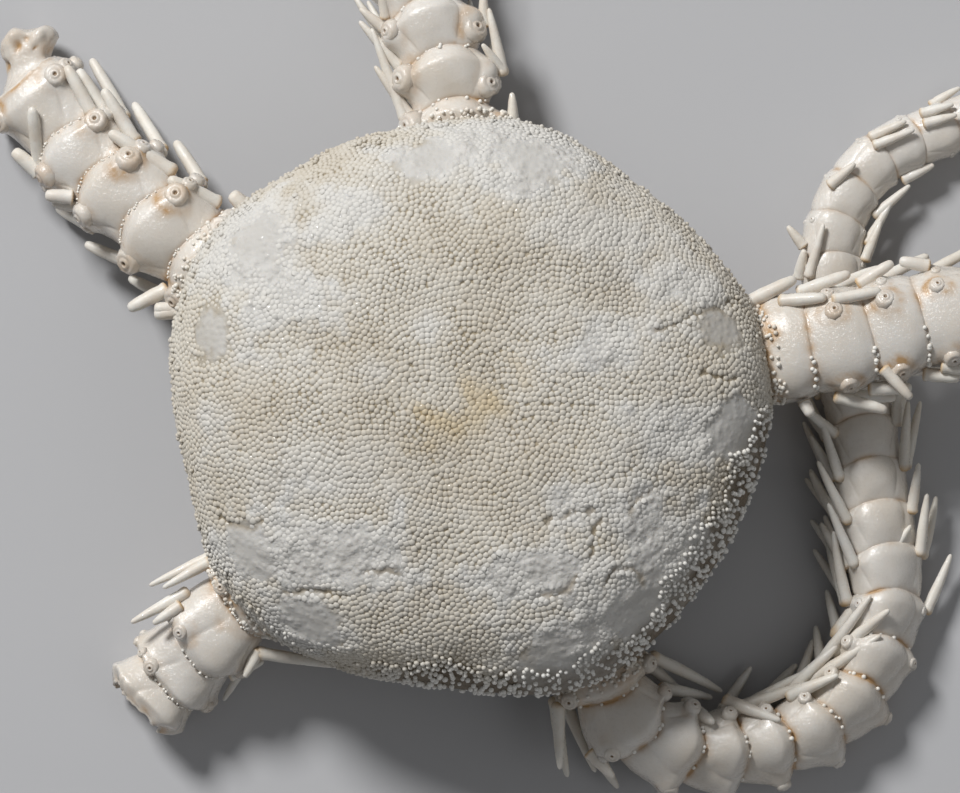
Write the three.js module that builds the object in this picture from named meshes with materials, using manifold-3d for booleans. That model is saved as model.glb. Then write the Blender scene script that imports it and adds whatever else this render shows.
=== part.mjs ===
// A brittle star at its life size, lying with its mouth on the floor.
// Millimetres. X and Y lie on the floor, Z points up, and lengths run from the middle of the disc.
// Three arms reach out to their tips. Two have broken off a few joints out from the disc.
import * as THREE from 'three';
import { mergeVertices } from 'three/addons/utils/BufferGeometryUtils.js';
import Module from 'manifold-3d';

const wasm = await Module();
wasm.setup();

const rad = THREE.MathUtils.degToRad;

// Between two pieces that meet
const gap = 0.3;

// The disc, a low loaf with a round rim
const discMiddle = 10.1;
const discTop = 8.5;
const discWaist = 4.3;
const discUnder = 1.2;
const discAround = 40;
const discRings = 11;
const discRimSquare = 0.66;
const discTopSquare = 0.9;
const discUnderSquare = 0.6;
const discSwells = [
  { lobes: 5, size: 0.25, towards: 9 },
  { lobes: 2, size: 0.24, towards: -17 },
  { lobes: 1, size: 0.15, towards: -146 },
  { lobes: 3, size: 0.07, towards: 10 },
  { lobes: 4, size: 0.05, towards: 41 },
];

// A pair of smooth plates stands over the root of each arm
const shieldLength = 3.0;
const shieldWidth = 2.3;
const shieldThick = 0.9;
const shieldSpread = 11;
const shieldTilt = 56;
const shieldSunk = 0.2;

// How an arm is made along its length
const armHeight = 0.86;
const armSquare = 0.85;
const bellyHeight = 0.8;
const tipWidth = 0.55;
const waistShare = 0.86;
const swellPlace = 0.72;
const firstJoint = 1.7;
const lastJoint = 0.9;
const pitchLeast = 0.62;
const pitchByWidth = 0.34;
const brokenTaper = 66;
const flatOnFloor = 0.07;

// A plate lies on the back of each joint, narrow at its near end and lipped at its far end
const platesOver = 2.4;
const plateSides = 5;
const plateFrom = 0.08;
const plateTo = 0.9;
const plateSpread = 50;
const plateNear = 0.5;
const plateNearRise = 0.9;
const plateTopShare = 0.86;
const plateProud = 0.09;
const plateSunk = 0.3;

// Spines stand in rows on both sides and lean towards the arm's tip
const spineThick = 0.54;
const spineTip = 0.3;
const spineSunk = 0.35;
const spineLeast = 0.45;
const spineByWidth = 0.66;
const spineSides = 4;
const spinePlace = 0.74;
const spineLean = 20;
const spineLeanStep = 8;
const spineLeanMost = 58;
const spineClear = 0.22;
const spineLow = 0.3;
const spineSamples = 5;
const coreStep = 0.5;
const wideOver = 2.4;
const wideRows = [56, 98];
const narrowRow = 82;
const plainUnder = 1.4;

// What stands out of a broken end
const vertebraSides = 10;
const vertebraSize = 0.62;
const vertebraEnd = 0.75;
const vertebraSunk = 0.6;
const vertebraOut = 0.9;
const vertebraLobes = 0.13;
const ragged = 0.3;

const bone = new THREE.Color('#e9dfd2');
const boneDisc = new THREE.Color('#ded4c2');
const boneUnder = new THREE.Color('#d8cab3');

// Each way starts inside the rim of the disc and is led by hand along the middle of the arm.
// lift is what the arm is held above the floor, roll turns its back outwards, both by distance along it.
const arms = [
  {
    name: 'arm_right', towards: 6, width: 3.9, seed: 11, sides: 8, cuts: [13, 25, 36, 47],
    way: [[8.6, 1.9], [12, 2.2], [16.8, 3.2], [21.5, 3.6], [26.2, 2.4], [29.8, -1], [31.6, -5.6],
      [32.6, -10.6], [34.8, -15.4], [38.6, -18.6], [43.4, -19.6], [48, -18], [50.4, -14]],
    lift: [[0, 1.9], [4, 2.7], [9, 2.8], [19, 0], [60, 0]],
    roll: [[0, 0], [60, 0]],
  },
  {
    name: 'arm_top', towards: 87, width: 3.45, seed: 23, sides: 8, cuts: [12, 23, 34, 46],
    way: [[-0.3, 8.6], [-0.8, 11.4], [-1.6, 14], [-2.9, 18.2], [-5.6, 22.2], [-9.8, 24.8], [-14.8, 25.4],
      [-19.8, 24.2], [-24.2, 21.6], [-28, 18], [-31.2, 13.8], [-33, 8.8], [-32.4, 3.8]],
    lift: [[0, 1.1], [3, 1.1], [12, 0], [60, 0]],
    roll: [[0, 0], [60, 0]],
  },
  {
    name: 'arm_lower_right', towards: 298, width: 3.45, seed: 37, sides: 8, cuts: [8, 15.5, 27, 38, 49],
    way: [[4.1, -8.2], [5.6, -10.9], [7.9, -11.8], [10.3, -11.6], [12.4, -10.7], [13.8, -9], [14.4, -6.6],
      [14.1, -4], [13.4, 0.4], [12.6, 4.6], [12.9, 6.9], [14.3, 8.7], [16.8, 9.8], [21, 11.4], [24.4, 14.4],
      [26, 18.8], [28.4, 22.6], [32.6, 24], [36.4, 22], [37.8, 18]],
    lift: [[0, 1.1], [2, 0.9], [8, 0], [60, 0]],
    roll: [[0, 0], [5, 38], [14, 38], [21, 10], [60, 0]],
  },
  {
    name: 'arm_upper_left', towards: 153, width: 4.0, seed: 41, sides: 10, cuts: [], brokenAt: 11,
    way: [[-7.6, 4.2], [-10.7, 6.5], [-13.4, 9], [-15.6, 11.6]],
    lift: [[0, 1.4], [3, 1.2], [9.5, 0], [12, 0]],
    roll: [[0, 0], [12, 0]],
  },
  {
    name: 'arm_lower_left', towards: 223, width: 3.6, seed: 53, sides: 10, cuts: [], brokenAt: 6.6,
    way: [[-6.8, -5.6], [-8.5, -7.3], [-10, -8.9], [-11.4, -10.3]],
    lift: [[0, 1.4], [2, 1.1], [5.6, 0], [8, 0]],
    roll: [[0, 0], [8, 0]],
  },
];

// What runs under the disc, from the mouth out to each arm
const underArm = {
  from: 4.7, to: 8.5, width: 2.9, height: 1.6, middle: 0.75, sides: 8, taper: 0.8,
};

// The mouth and its five jaws
const mouth = {
  radius: 3.4, roof: 0.45, jawsTowards: 42, jawFrom: 0.55, jawTo: 3.5, jawBack: 0.3,
  jawWidth: 3.0, jawTip: 0.7, shieldRadius: 0.95, shieldBottom: 0.76, shieldAt: 4.0, shieldRise: 0.12,
};

// Draws that come out the same each time
function seeded(seed) {
  let state = seed;
  return () => {
    state = (state * 1664525 + 1013904223) % 4294967296;
    return state / 4294967296;
  };
}

function ramp(knots, at) {
  let value = knots[0][1];
  for (let i = 1; i < knots.length; i += 1) {
    const [from, low] = knots[i - 1];
    const [to, high] = knots[i];
    const share = THREE.MathUtils.smoothstep(at, from, to);
    value += (high - low) * share;
  }
  return value;
}

// A closed mesh as a solid that can be joined or cut
function solidOf(geometry) {
  const bare = geometry.clone();
  bare.deleteAttribute('normal');
  bare.deleteAttribute('uv');
  const merged = mergeVertices(bare, 1e-4);
  return new wasm.Manifold(new wasm.Mesh({
    numProp: 3,
    vertProperties: new Float32Array(merged.attributes.position.array),
    triVerts: new Uint32Array(merged.index.array),
  }));
}

// The largest closed body of a solid, as a mesh of its own
function geometryOf(solid) {
  const bodies = solid.decompose();
  bodies.sort((a, b) => b.volume() - a.volume());
  const { vertProperties, triVerts } = bodies[0].getMesh();
  const geometry = new THREE.BufferGeometry();
  geometry.setAttribute('position', new THREE.BufferAttribute(vertProperties, 3));
  geometry.setIndex(new THREE.BufferAttribute(triVerts, 1));
  geometry.computeVertexNormals();
  return geometry;
}

function fuse(pieces) {
  return pieces.reduce((sum, piece) => sum.add(piece));
}

// Moves each point of a mesh to where a function puts it
function reshape(geometry, place) {
  const points = geometry.attributes.position;
  const point = new THREE.Vector3();
  for (let i = 0; i < points.count; i += 1) {
    point.fromBufferAttribute(points, i);
    const moved = place(point);
    points.setXYZ(i, moved.x, moved.y, moved.z);
  }
  return geometry;
}

// A block that takes away all below the floor
function belowFloor() {
  const block = new THREE.BoxGeometry(200, 200, 10);
  block.translate(0, 0, -5);
  return solidOf(block);
}

function discReach(angle) {
  let reach = discMiddle;
  for (const swell of discSwells) {
    reach += swell.size * Math.cos(swell.lobes * (angle - rad(swell.towards)));
  }
  return reach;
}

// A point of the disc's skin: angle goes round it and polar from the top, 0, to the mouth, pi
function discPoint(angle, polar, grow) {
  const reach = (discReach(angle) + grow) * Math.sin(polar) ** discRimSquare;
  const rise = Math.cos(polar);
  const height = rise > 0
    ? discWaist + (discTop - discWaist + grow) * rise ** discTopSquare
    : discWaist - (discWaist - discUnder + grow) * (-rise) ** discUnderSquare;
  return new THREE.Vector3(reach * Math.cos(angle), reach * Math.sin(angle), height);
}

function discSolid(grow) {
  const ball = new THREE.SphereGeometry(1, discAround, discRings);
  ball.rotateX(Math.PI / 2);
  return solidOf(reshape(ball, (point) => {
    const angle = Math.atan2(point.y, point.x);
    const polar = Math.acos(THREE.MathUtils.clamp(point.z, -1, 1));
    return discPoint(angle, polar, grow);
  }));
}

// One of the smooth plates, a flat oval that lies in the skin and stands a little proud of it
function shield(angle) {
  const polar = rad(shieldTilt);
  const seat = discPoint(angle, polar, -shieldSunk);
  const outwards = discPoint(angle, polar + 0.05, 0).sub(discPoint(angle, polar - 0.05, 0)).normalize();
  const across = new THREE.Vector3(-Math.sin(angle), Math.cos(angle), 0);
  const up = new THREE.Vector3().crossVectors(outwards, across);
  const oval = new THREE.SphereGeometry(0.5, 8, 3);
  oval.rotateX(Math.PI / 2);
  oval.scale(shieldLength, shieldWidth, shieldThick);
  oval.applyMatrix4(new THREE.Matrix4().makeBasis(outwards, across, up).setPosition(seat));
  return solidOf(oval);
}

function makeDisc() {
  const pieces = [discSolid(0)];
  for (const arm of arms) {
    for (const side of [-1, 1]) {
      pieces.push(shield(rad(arm.towards + side * shieldSpread)));
    }
  }
  return fuse(pieces);
}

// The line that an arm follows on the floor, and its joints
function prepare(arm) {
  const points = arm.way.map(([x, y]) => new THREE.Vector3(x, y, 0));
  arm.line = new THREE.CatmullRomCurve3(points, false, 'catmullrom', 0.5);
  arm.line.arcLengthDivisions = 600;
  arm.full = arm.line.getLength();
  arm.reach = arm.brokenAt ?? arm.full;
  arm.taperOver = arm.brokenAt ? brokenTaper : arm.full;
  arm.joints = [0, firstJoint];
  let at = firstJoint;
  while (at < arm.reach - lastJoint) {
    at += jointPitch(arm, at);
    arm.joints.push(Math.min(at, arm.reach));
  }
  arm.joints[arm.joints.length - 1] = arm.reach;
  arm.core = coreOf(arm);
}

function widthAt(arm, at) {
  return arm.width * (1 - at / arm.taperOver) + tipWidth * (at / arm.taperOver);
}

function jointPitch(arm, at) {
  return pitchLeast + pitchByWidth * widthAt(arm, at);
}

// Place and directions of an arm's middle: along it, to its side, and out of its back
function frameAt(arm, at) {
  const share = THREE.MathUtils.clamp(at / arm.full, 0, 1);
  const heightOf = (where) => armHeight * bellyHeight * 0.5 * widthAt(arm, where) - flatOnFloor
    + ramp(arm.lift, where);
  const ahead = arm.line.getTangentAt(share);
  const place = arm.line.getPointAt(share).addScaledVector(ahead, Math.max(0, at - arm.full));
  place.z = heightOf(at);
  ahead.z = (heightOf(at + 0.2) - heightOf(at - 0.2)) / 0.4;
  ahead.normalize();
  const side = new THREE.Vector3().crossVectors(ahead, new THREE.Vector3(0, 0, 1)).normalize();
  const back = new THREE.Vector3().crossVectors(side, ahead);
  const roll = rad(ramp(arm.roll, at));
  const rolledBack = back.clone().multiplyScalar(Math.cos(roll)).addScaledVector(side, Math.sin(roll));
  const rolledSide = side.clone().multiplyScalar(Math.cos(roll)).addScaledVector(back, -Math.sin(roll));
  return { place, ahead, side: rolledSide, back: rolledBack };
}

// How far a joint swells at this place: its plates stand out towards its far end
function swellAt(arm, at) {
  const last = arm.joints.findLastIndex((joint) => joint <= at + 1e-6);
  const from = arm.joints[Math.max(last, 0)];
  const to = arm.joints[last + 1] ?? arm.reach;
  const share = to > from ? (at - from) / (to - from) : 0;
  const rise = share < swellPlace ? share / swellPlace : (1 - share) / (1 - swellPlace);
  return waistShare + (1 - waistShare) * THREE.MathUtils.clamp(rise, 0, 1);
}

// Makes a round section a little squarer
function squared(share) {
  return Math.sign(share) * Math.abs(share) ** armSquare;
}

// A point round the arm from its back by the angle. reach is 1 on the skin where a joint is widest
function armPoint(arm, at, round, reach) {
  const { place, side, back } = frameAt(arm, at);
  const half = 0.5 * widthAt(arm, at) * reach;
  const across = half * squared(Math.sin(round));
  const rise = half * armHeight * squared(Math.cos(round));
  const up = rise < 0 ? rise * bellyHeight : rise;
  return place.addScaledVector(side, across).addScaledVector(back, up);
}

// The number of the corner of a section that lies at an angle
function cornerAt(round, sides) {
  return Math.round((round / (2 * Math.PI)) * sides + sides) % sides;
}

// A closed stretch of arm, with rings at the start and the swell of each joint
function armTube(arm, from, to) {
  const stations = [from];
  for (let i = 0; i < arm.joints.length - 1; i += 1) {
    const pitch = arm.joints[i + 1] - arm.joints[i];
    const plain = widthAt(arm, arm.joints[i]) < plainUnder;
    for (const at of [arm.joints[i], arm.joints[i] + swellPlace * pitch]) {
      const kept = !plain || at > arm.joints[i];
      if (kept && at > from + 0.2 && at < to - 0.2) {
        stations.push(at);
      }
    }
  }
  stations.push(to);
  const sides = widthAt(arm, from) > wideOver ? arm.sides : 6;
  const rows = stations.length - 1;
  const draw = seeded(arm.seed);
  const torn = Array.from({ length: sides }, () => (arm.brokenAt ? ragged * (draw() - 0.5) : 0));
  const tube = new THREE.CylinderGeometry(1, 1, 1, sides, rows);
  return solidOf(reshape(tube, (point) => {
    const row = Math.round((0.5 - point.y) * rows);
    const round = Math.atan2(point.x, -point.z);
    const inside = Math.min(1, Math.hypot(point.x, point.z));
    const at = stations[row] + (row === rows && inside > 0.5 ? torn[cornerAt(round, sides)] : 0);
    return armPoint(arm, at, round, inside * swellAt(arm, stations[row]));
  }));
}

// The plate on the back of one joint, sunk into the arm and raised where the next joint begins
function backPlate(arm, from, to) {
  const slab = new THREE.CylinderGeometry(plateTopShare, 1, 1, plateSides, 1);
  slab.rotateY(Math.PI / plateSides);
  const half = 0.5 * widthAt(arm, from);
  return solidOf(reshape(slab, (point) => {
    const share = (1 - point.z) / 2;
    const at = from + (to - from) * THREE.MathUtils.lerp(plateFrom, plateTo, share);
    const fan = THREE.MathUtils.lerp(plateNear, 1, share);
    const lip = THREE.MathUtils.lerp(plateNearRise, 1, share) + plateProud / half;
    const reach = point.y > 0 ? lip : lip - plateSunk / half;
    return armPoint(arm, at, rad(plateSpread) * fan * point.x, reach);
  }));
}

// A worn stub of the joint's core that shows in a broken end
function vertebra(arm) {
  const core = new THREE.CylinderGeometry(1, 1, 1, vertebraSides, 2);
  const draw = seeded(arm.seed + 5);
  const out = Array.from({ length: vertebraSides }, () => vertebraOut * (0.75 + 0.5 * draw()));
  return solidOf(reshape(core, (point) => {
    const round = Math.atan2(point.x, -point.z);
    const inside = Math.min(1, Math.hypot(point.x, point.z));
    const lobed = vertebraSize * (1 + vertebraLobes * Math.cos(4 * round));
    const share = 0.5 - point.y;
    const far = inside > 0.5 ? out[cornerAt(round, vertebraSides)] : vertebraOut;
    const at = arm.reach - vertebraSunk + share * (vertebraSunk + far);
    return armPoint(arm, at, round, inside * lobed * (share > 0.9 ? vertebraEnd : 1));
  }));
}

// Places along an arm's middle with the room that it takes, to keep spines clear of it
function coreOf(arm) {
  const core = [];
  for (let at = 0; at < arm.reach; at += coreStep) {
    core.push({ at, place: frameAt(arm, at).place, half: 0.5 * widthAt(arm, at) * swellAt(arm, at) });
  }
  return core;
}

function insideDisc(point) {
  const angle = Math.atan2(point.y, point.x);
  return Math.hypot(point.x, point.y) < discReach(angle) + gap + spineThick / 2;
}

// True where a spine's middle line keeps clear of the disc, the other lengths and the other spines
function isClear(line, arm, from, to, spines) {
  for (const point of line.slice(1)) {
    if (insideDisc(point) || point.z < spineLow) {
      return false;
    }
    for (const other of arms) {
      for (const { at, place, half } of other.core) {
        const ownLength = other === arm && at > from - 0.1 && at < to + 0.1;
        if (!ownLength && point.distanceTo(place) < half + spineThick / 2 + spineClear) {
          return false;
        }
      }
    }
    for (const spine of spines) {
      for (const near of spine) {
        if (point.distanceTo(near) < spineThick + spineClear) {
          return false;
        }
      }
    }
  }
  return true;
}

// The middle line of a spine, from its sunk root to its tip
function spineLine(arm, at, round, lean, length) {
  const { ahead } = frameAt(arm, at);
  const half = 0.5 * widthAt(arm, at);
  const root = armPoint(arm, at, round, 1 - spineSunk / half);
  const skin = armPoint(arm, at, round, 1);
  const out = skin.clone().sub(frameAt(arm, at).place).normalize();
  const way = ahead.multiplyScalar(Math.cos(rad(lean))).addScaledVector(out, Math.sin(rad(lean)));
  if (root.z + way.z * length < spineLow) {
    way.z = (spineLow + 0.05 - root.z) / length;
    way.normalize();
  }
  return Array.from({ length: spineSamples }, (_, i) => (
    root.clone().addScaledVector(way, (length * i) / (spineSamples - 1))
  ));
}

function spineSolid(line, thick) {
  const root = line[0];
  const tip = line[line.length - 1];
  const length = root.distanceTo(tip);
  const spine = new THREE.CylinderGeometry(spineTip / 2, thick / 2, length, spineSides);
  spine.translate(0, length / 2, 0);
  const way = tip.clone().sub(root).normalize();
  spine.applyQuaternion(new THREE.Quaternion().setFromUnitVectors(new THREE.Vector3(0, 1, 0), way));
  spine.translate(root.x, root.y, root.z);
  return solidOf(spine);
}

// The spines of one length of arm. Each leans out further until it is clear, or is left out
function spinesOf(arm, from, to, placed) {
  const draw = seeded(arm.seed + Math.round(from * 10));
  const solids = [];
  for (let i = 1; i < arm.joints.length - 1; i += 1) {
    const pitch = arm.joints[i + 1] - arm.joints[i];
    const at = arm.joints[i] + spinePlace * pitch;
    if (at < from || at > to) {
      continue;
    }
    const wide = widthAt(arm, at) > wideOver;
    for (const side of wide ? [-1, 1] : [i % 2 ? -1 : 1]) {
      for (const row of wide ? wideRows : [narrowRow]) {
        const round = side * rad(row + 8 * (draw() - 0.5) + (i % 2 ? 5 : -5));
        const length = (spineLeast + spineByWidth * widthAt(arm, at)) * (0.8 + 0.45 * draw());
        const start = spineLean + 8 * draw();
        for (let lean = start; lean <= spineLeanMost; lean += spineLeanStep) {
          const line = spineLine(arm, at, round, lean, length + spineSunk);
          if (isClear(line, arm, from, to, placed)) {
            placed.push(line);
            solids.push(spineSolid(line, spineThick));
            break;
          }
        }
      }
    }
  }
  return solids;
}

// The joint that stands nearest to a wanted place
function nearestJoint(arm, at) {
  return arm.joints.reduce((best, joint) => (Math.abs(joint - at) < Math.abs(best - at) ? joint : best));
}

function makeArm(arm, floor, disc, placed) {
  const ends = [0, ...arm.cuts.map((cut) => nearestJoint(arm, cut)), arm.reach];
  const lengths = [];
  for (let i = 0; i < ends.length - 1; i += 1) {
    const from = ends[i] + (i > 0 ? gap / 2 : 0);
    const to = ends[i + 1] - (i < ends.length - 2 ? gap / 2 : 0);
    const pieces = [armTube(arm, from, to)];
    for (let j = 1; j < arm.joints.length - 1; j += 1) {
      const inLength = arm.joints[j] >= ends[i] && arm.joints[j] < ends[i + 1];
      if (inLength && widthAt(arm, arm.joints[j]) > platesOver) {
        pieces.push(backPlate(arm, Math.max(arm.joints[j], from), arm.joints[j + 1]));
      }
    }
    pieces.push(...spinesOf(arm, from, to, placed));
    if (arm.brokenAt) {
      pieces.push(vertebra(arm));
    }
    let body = fuse(pieces).subtract(floor);
    if (i === 0) {
      body = body.subtract(disc);
    }
    lengths.push(body);
  }
  return lengths;
}

// The ridge that an arm shows under the disc
function makeUnderArm(arm, floor, disc) {
  const angle = rad(arm.towards);
  const ends = [underArm.from, (underArm.from + underArm.to) / 2, underArm.to];
  const ridge = new THREE.CylinderGeometry(1, 1, 1, underArm.sides, ends.length - 1);
  const body = solidOf(reshape(ridge, (point) => {
    const row = Math.round((0.5 - point.y) * (ends.length - 1));
    const share = row === 0 ? underArm.taper : 1;
    const out = ends[row];
    const across = -0.5 * underArm.width * share * point.x;
    return new THREE.Vector3(
      out * Math.cos(angle) - across * Math.sin(angle),
      out * Math.sin(angle) + across * Math.cos(angle),
      underArm.middle - 0.5 * underArm.height * share * point.z,
    );
  }));
  return body.subtract(floor).subtract(disc);
}

function makeMouth(disc) {
  const top = discUnder - gap;
  const roof = new THREE.CylinderGeometry(mouth.radius, mouth.radius, top - mouth.roof, 12);
  roof.rotateX(Math.PI / 2);
  roof.translate(0, 0, (top + mouth.roof) / 2);
  const pieces = [solidOf(roof)];
  for (let i = 0; i < arms.length; i += 1) {
    const angle = rad(mouth.jawsTowards + (360 / arms.length) * i);
    const outline = new THREE.Shape();
    outline.moveTo(mouth.jawFrom, -mouth.jawTip / 2);
    outline.lineTo(mouth.jawTo, -mouth.jawWidth / 2);
    outline.lineTo(mouth.jawTo + mouth.jawBack, 0);
    outline.lineTo(mouth.jawTo, mouth.jawWidth / 2);
    outline.lineTo(mouth.jawFrom, mouth.jawTip / 2);
    outline.closePath();
    const jaw = new THREE.ExtrudeGeometry(outline, { depth: top, bevelEnabled: false });
    jaw.rotateZ(angle);
    pieces.push(solidOf(jaw));
    const thick = top - mouth.shieldRise;
    const plate = new THREE.CylinderGeometry(mouth.shieldRadius, mouth.shieldBottom, thick, 6);
    plate.rotateX(Math.PI / 2);
    plate.translate(mouth.shieldAt, 0, mouth.shieldRise + thick / 2);
    plate.rotateZ(angle);
    pieces.push(solidOf(plate));
  }
  return fuse(pieces).subtract(disc);
}

const star = new THREE.Group();

function addNode(name, solid, color) {
  const material = new THREE.MeshStandardMaterial({ color, roughness: 0.6, metalness: 0 });
  const mesh = new THREE.Mesh(geometryOf(solid), material);
  mesh.name = name;
  star.add(mesh);
}

const floor = belowFloor();
const discClearance = discSolid(gap);
addNode('disc', makeDisc(), boneDisc);
addNode('mouth_frame', makeMouth(discClearance), boneUnder);
const placed = [];
arms.forEach(prepare);
for (const arm of arms) {
  addNode(`${arm.name}_under_disc`, makeUnderArm(arm, floor, discClearance), boneUnder);
  const lengths = makeArm(arm, floor, discClearance, placed);
  lengths.forEach((length, index) => {
    addNode(lengths.length > 1 ? `${arm.name}_${index + 1}` : arm.name, length, bone);
  });
}

// The origin is under the middle of the whole
const box = new THREE.Box3().setFromObject(star);
star.position.set(-(box.min.x + box.max.x) / 2, -(box.min.y + box.max.y) / 2, -box.min.z);

export default star;
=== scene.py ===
import math

import bpy
import numpy as np
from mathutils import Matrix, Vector
from mathutils.bvhtree import BVHTree
from mathutils.kdtree import KDTree


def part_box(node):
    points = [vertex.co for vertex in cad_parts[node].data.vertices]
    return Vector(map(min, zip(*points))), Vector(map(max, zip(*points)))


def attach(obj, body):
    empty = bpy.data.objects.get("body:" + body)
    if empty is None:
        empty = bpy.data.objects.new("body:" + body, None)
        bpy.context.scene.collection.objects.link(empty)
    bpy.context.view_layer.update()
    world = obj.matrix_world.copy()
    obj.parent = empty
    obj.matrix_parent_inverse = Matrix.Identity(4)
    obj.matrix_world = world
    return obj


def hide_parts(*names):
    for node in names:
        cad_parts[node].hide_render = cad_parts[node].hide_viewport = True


# A brittle star that lies on its mouth, dressed over its solids.
# Lengths are in millimetres from the middle of the disc until a mesh is made, and in metres after that.
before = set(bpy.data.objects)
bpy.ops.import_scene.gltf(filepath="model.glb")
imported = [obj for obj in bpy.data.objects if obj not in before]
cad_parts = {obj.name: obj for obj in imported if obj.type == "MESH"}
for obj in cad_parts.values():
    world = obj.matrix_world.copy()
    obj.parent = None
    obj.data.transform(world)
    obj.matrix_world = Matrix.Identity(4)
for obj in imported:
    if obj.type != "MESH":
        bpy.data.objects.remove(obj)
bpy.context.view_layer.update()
mm = 0.001

# Where the disc's middle stands in the photograph, with its width and its pixels to the millimetre
photo = {"wide": 960, "discAt": (470, 408), "perMm": 29.2}

disc = {
    "middle": 10.1, "top": 8.5, "waist": 4.3, "under": 1.2,
    "rimSquare": 0.66, "topSquare": 0.9, "underSquare": 0.6,
    # lobes, size, towards
    "swells": [(5, 0.25, 9), (2, 0.24, -17), (1, 0.15, -146), (3, 0.07, 10), (4, 0.05, 41)],
    "around": 420, "rings": 190,
    "skinDepth": 0.1,       # how deep the skin lies under the tops of the granules
    "floorGap": 0.75,       # the lowest that the skin comes
    "shieldSpread": 11, "shieldTilt": 56, "shieldReach": 7.9,
    "shieldLong": 2.6, "shieldWide": 2.1, "shieldRise": 0.03,
    "filled": 0.06,         # how far the skin comes up between the granules where they are worn
    "creaseDeep": 0.07, "creaseWide": 0.09,
    # worn patches: middle, half length, half width, turn in degrees, strength
    "worn": [
        (1.0, 8.5, 3.8, 1.5, 0, 0.95), (3.8, 6.2, 2.3, 1.5, -20, 0.55), (-4.3, 6.7, 1.5, 1.1, 20, 0.72),
        (-7.4, 5.4, 2.0, 1.7, 35, 0.9), (-6.3, 3.1, 2.2, 1.1, 20, 0.88), (-8.8, -0.5, 0.7, 1.0, 0, 0.62),
        (-5.3, -2.4, 3.4, 1.5, 5, 0.46), (-5.2, -4.9, 4.0, 1.7, -5, 1.0), (-5.8, -7.1, 2.2, 1.4, -30, 0.9),
        (6.9, 4.2, 2.2, 1.5, -30, 0.66), (4.4, 2.1, 2.0, 1.1, 10, 0.7), (7.2, -0.9, 2.7, 1.6, 5, 0.68),
        (3.6, -3.4, 1.9, 1.0, 10, 0.66), (2.4, -5.8, 2.6, 1.3, 0, 0.95), (6.1, -5.0, 2.0, 2.7, -20, 1.0),
        (3.6, -8.2, 2.3, 1.7, 20, 0.96), (-1.4, 2.6, 0.8, 0.6, 0, 0.6), (-3.2, 1.3, 0.8, 0.6, 0, 0.5),
    ],
    # yellowish patches, in the same way
    "gold": [(-0.1, -0.2, 1.9, 0.8, 28, 0.6), (-8.0, 5.6, 0.7, 0.5, 0, 0.3)],
    # creases and cracks in the skin, in the photograph's pixels
    "creases": [
        ((654, 332), (684, 320), (705, 311), (729, 304)), ((601, 519), (594, 527), (591, 541), (588, 553)),
        ((603, 580), (611, 567), (627, 565), (638, 572), (640, 583)), ((627, 511), (638, 497), (652, 488)),
        ((538, 594), (556, 590), (570, 585), (574, 571)), ((222, 519), (246, 528), (262, 521)),
        ((366, 571), (384, 569), (400, 571)), ((284, 592), (318, 590), (352, 596)),
        ((700, 372), (716, 378), (733, 379)), ((545, 520), (570, 512), (590, 509)),
    ],
}

# How all arms are made along their length
armMake = {
    "high": 0.86, "square": 0.85, "belly": 0.8, "tipWidth": 0.55, "swellPlace": 0.72, "lastJoint": 0.9,
    "pitchLeast": 0.62, "pitchByWidth": 0.34, "brokenTaper": 66, "sunk": 0.07, "dome": 0.085,
    "shoulderNear": 0.72, "shoulderFar": 0.46, "edgeShare": 0.42, "edgeShoulder": 0.56,
    "knobRise": 0.24, "knobWide": 0.50,
    # knobs on a side, by the arm's width: over which width, how many, the top one lowered by, the
    # lowest one's angle
    "knobRows": [(3, 4, 0, 126), (2.1, 4, 4, 126), (1.2, 3, 10, 112), (0, 2, 20, 112)],
}

# What an arm is like where the table of arms says nothing else. Pairs are a distance along the arm and
# a value there. turn rolls the pattern of the plates round the arm, and lift holds the arm over the floor.
armPlain = {
    "brokenAt": None, "roll": [(0, 0)], "turn": [(0, 0)], "bold": [(0, 1)], "first": 1.7, "skew": 0.0,
    # The brown at the joints and at the root, out to rootTo, is partly stain and partly painted shade
    "knobPlace": 0.80, "bareTo": 0, "outerDrop": 0, "jointStainAndShade": 1, "rootTo": 1.2,
}

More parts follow.
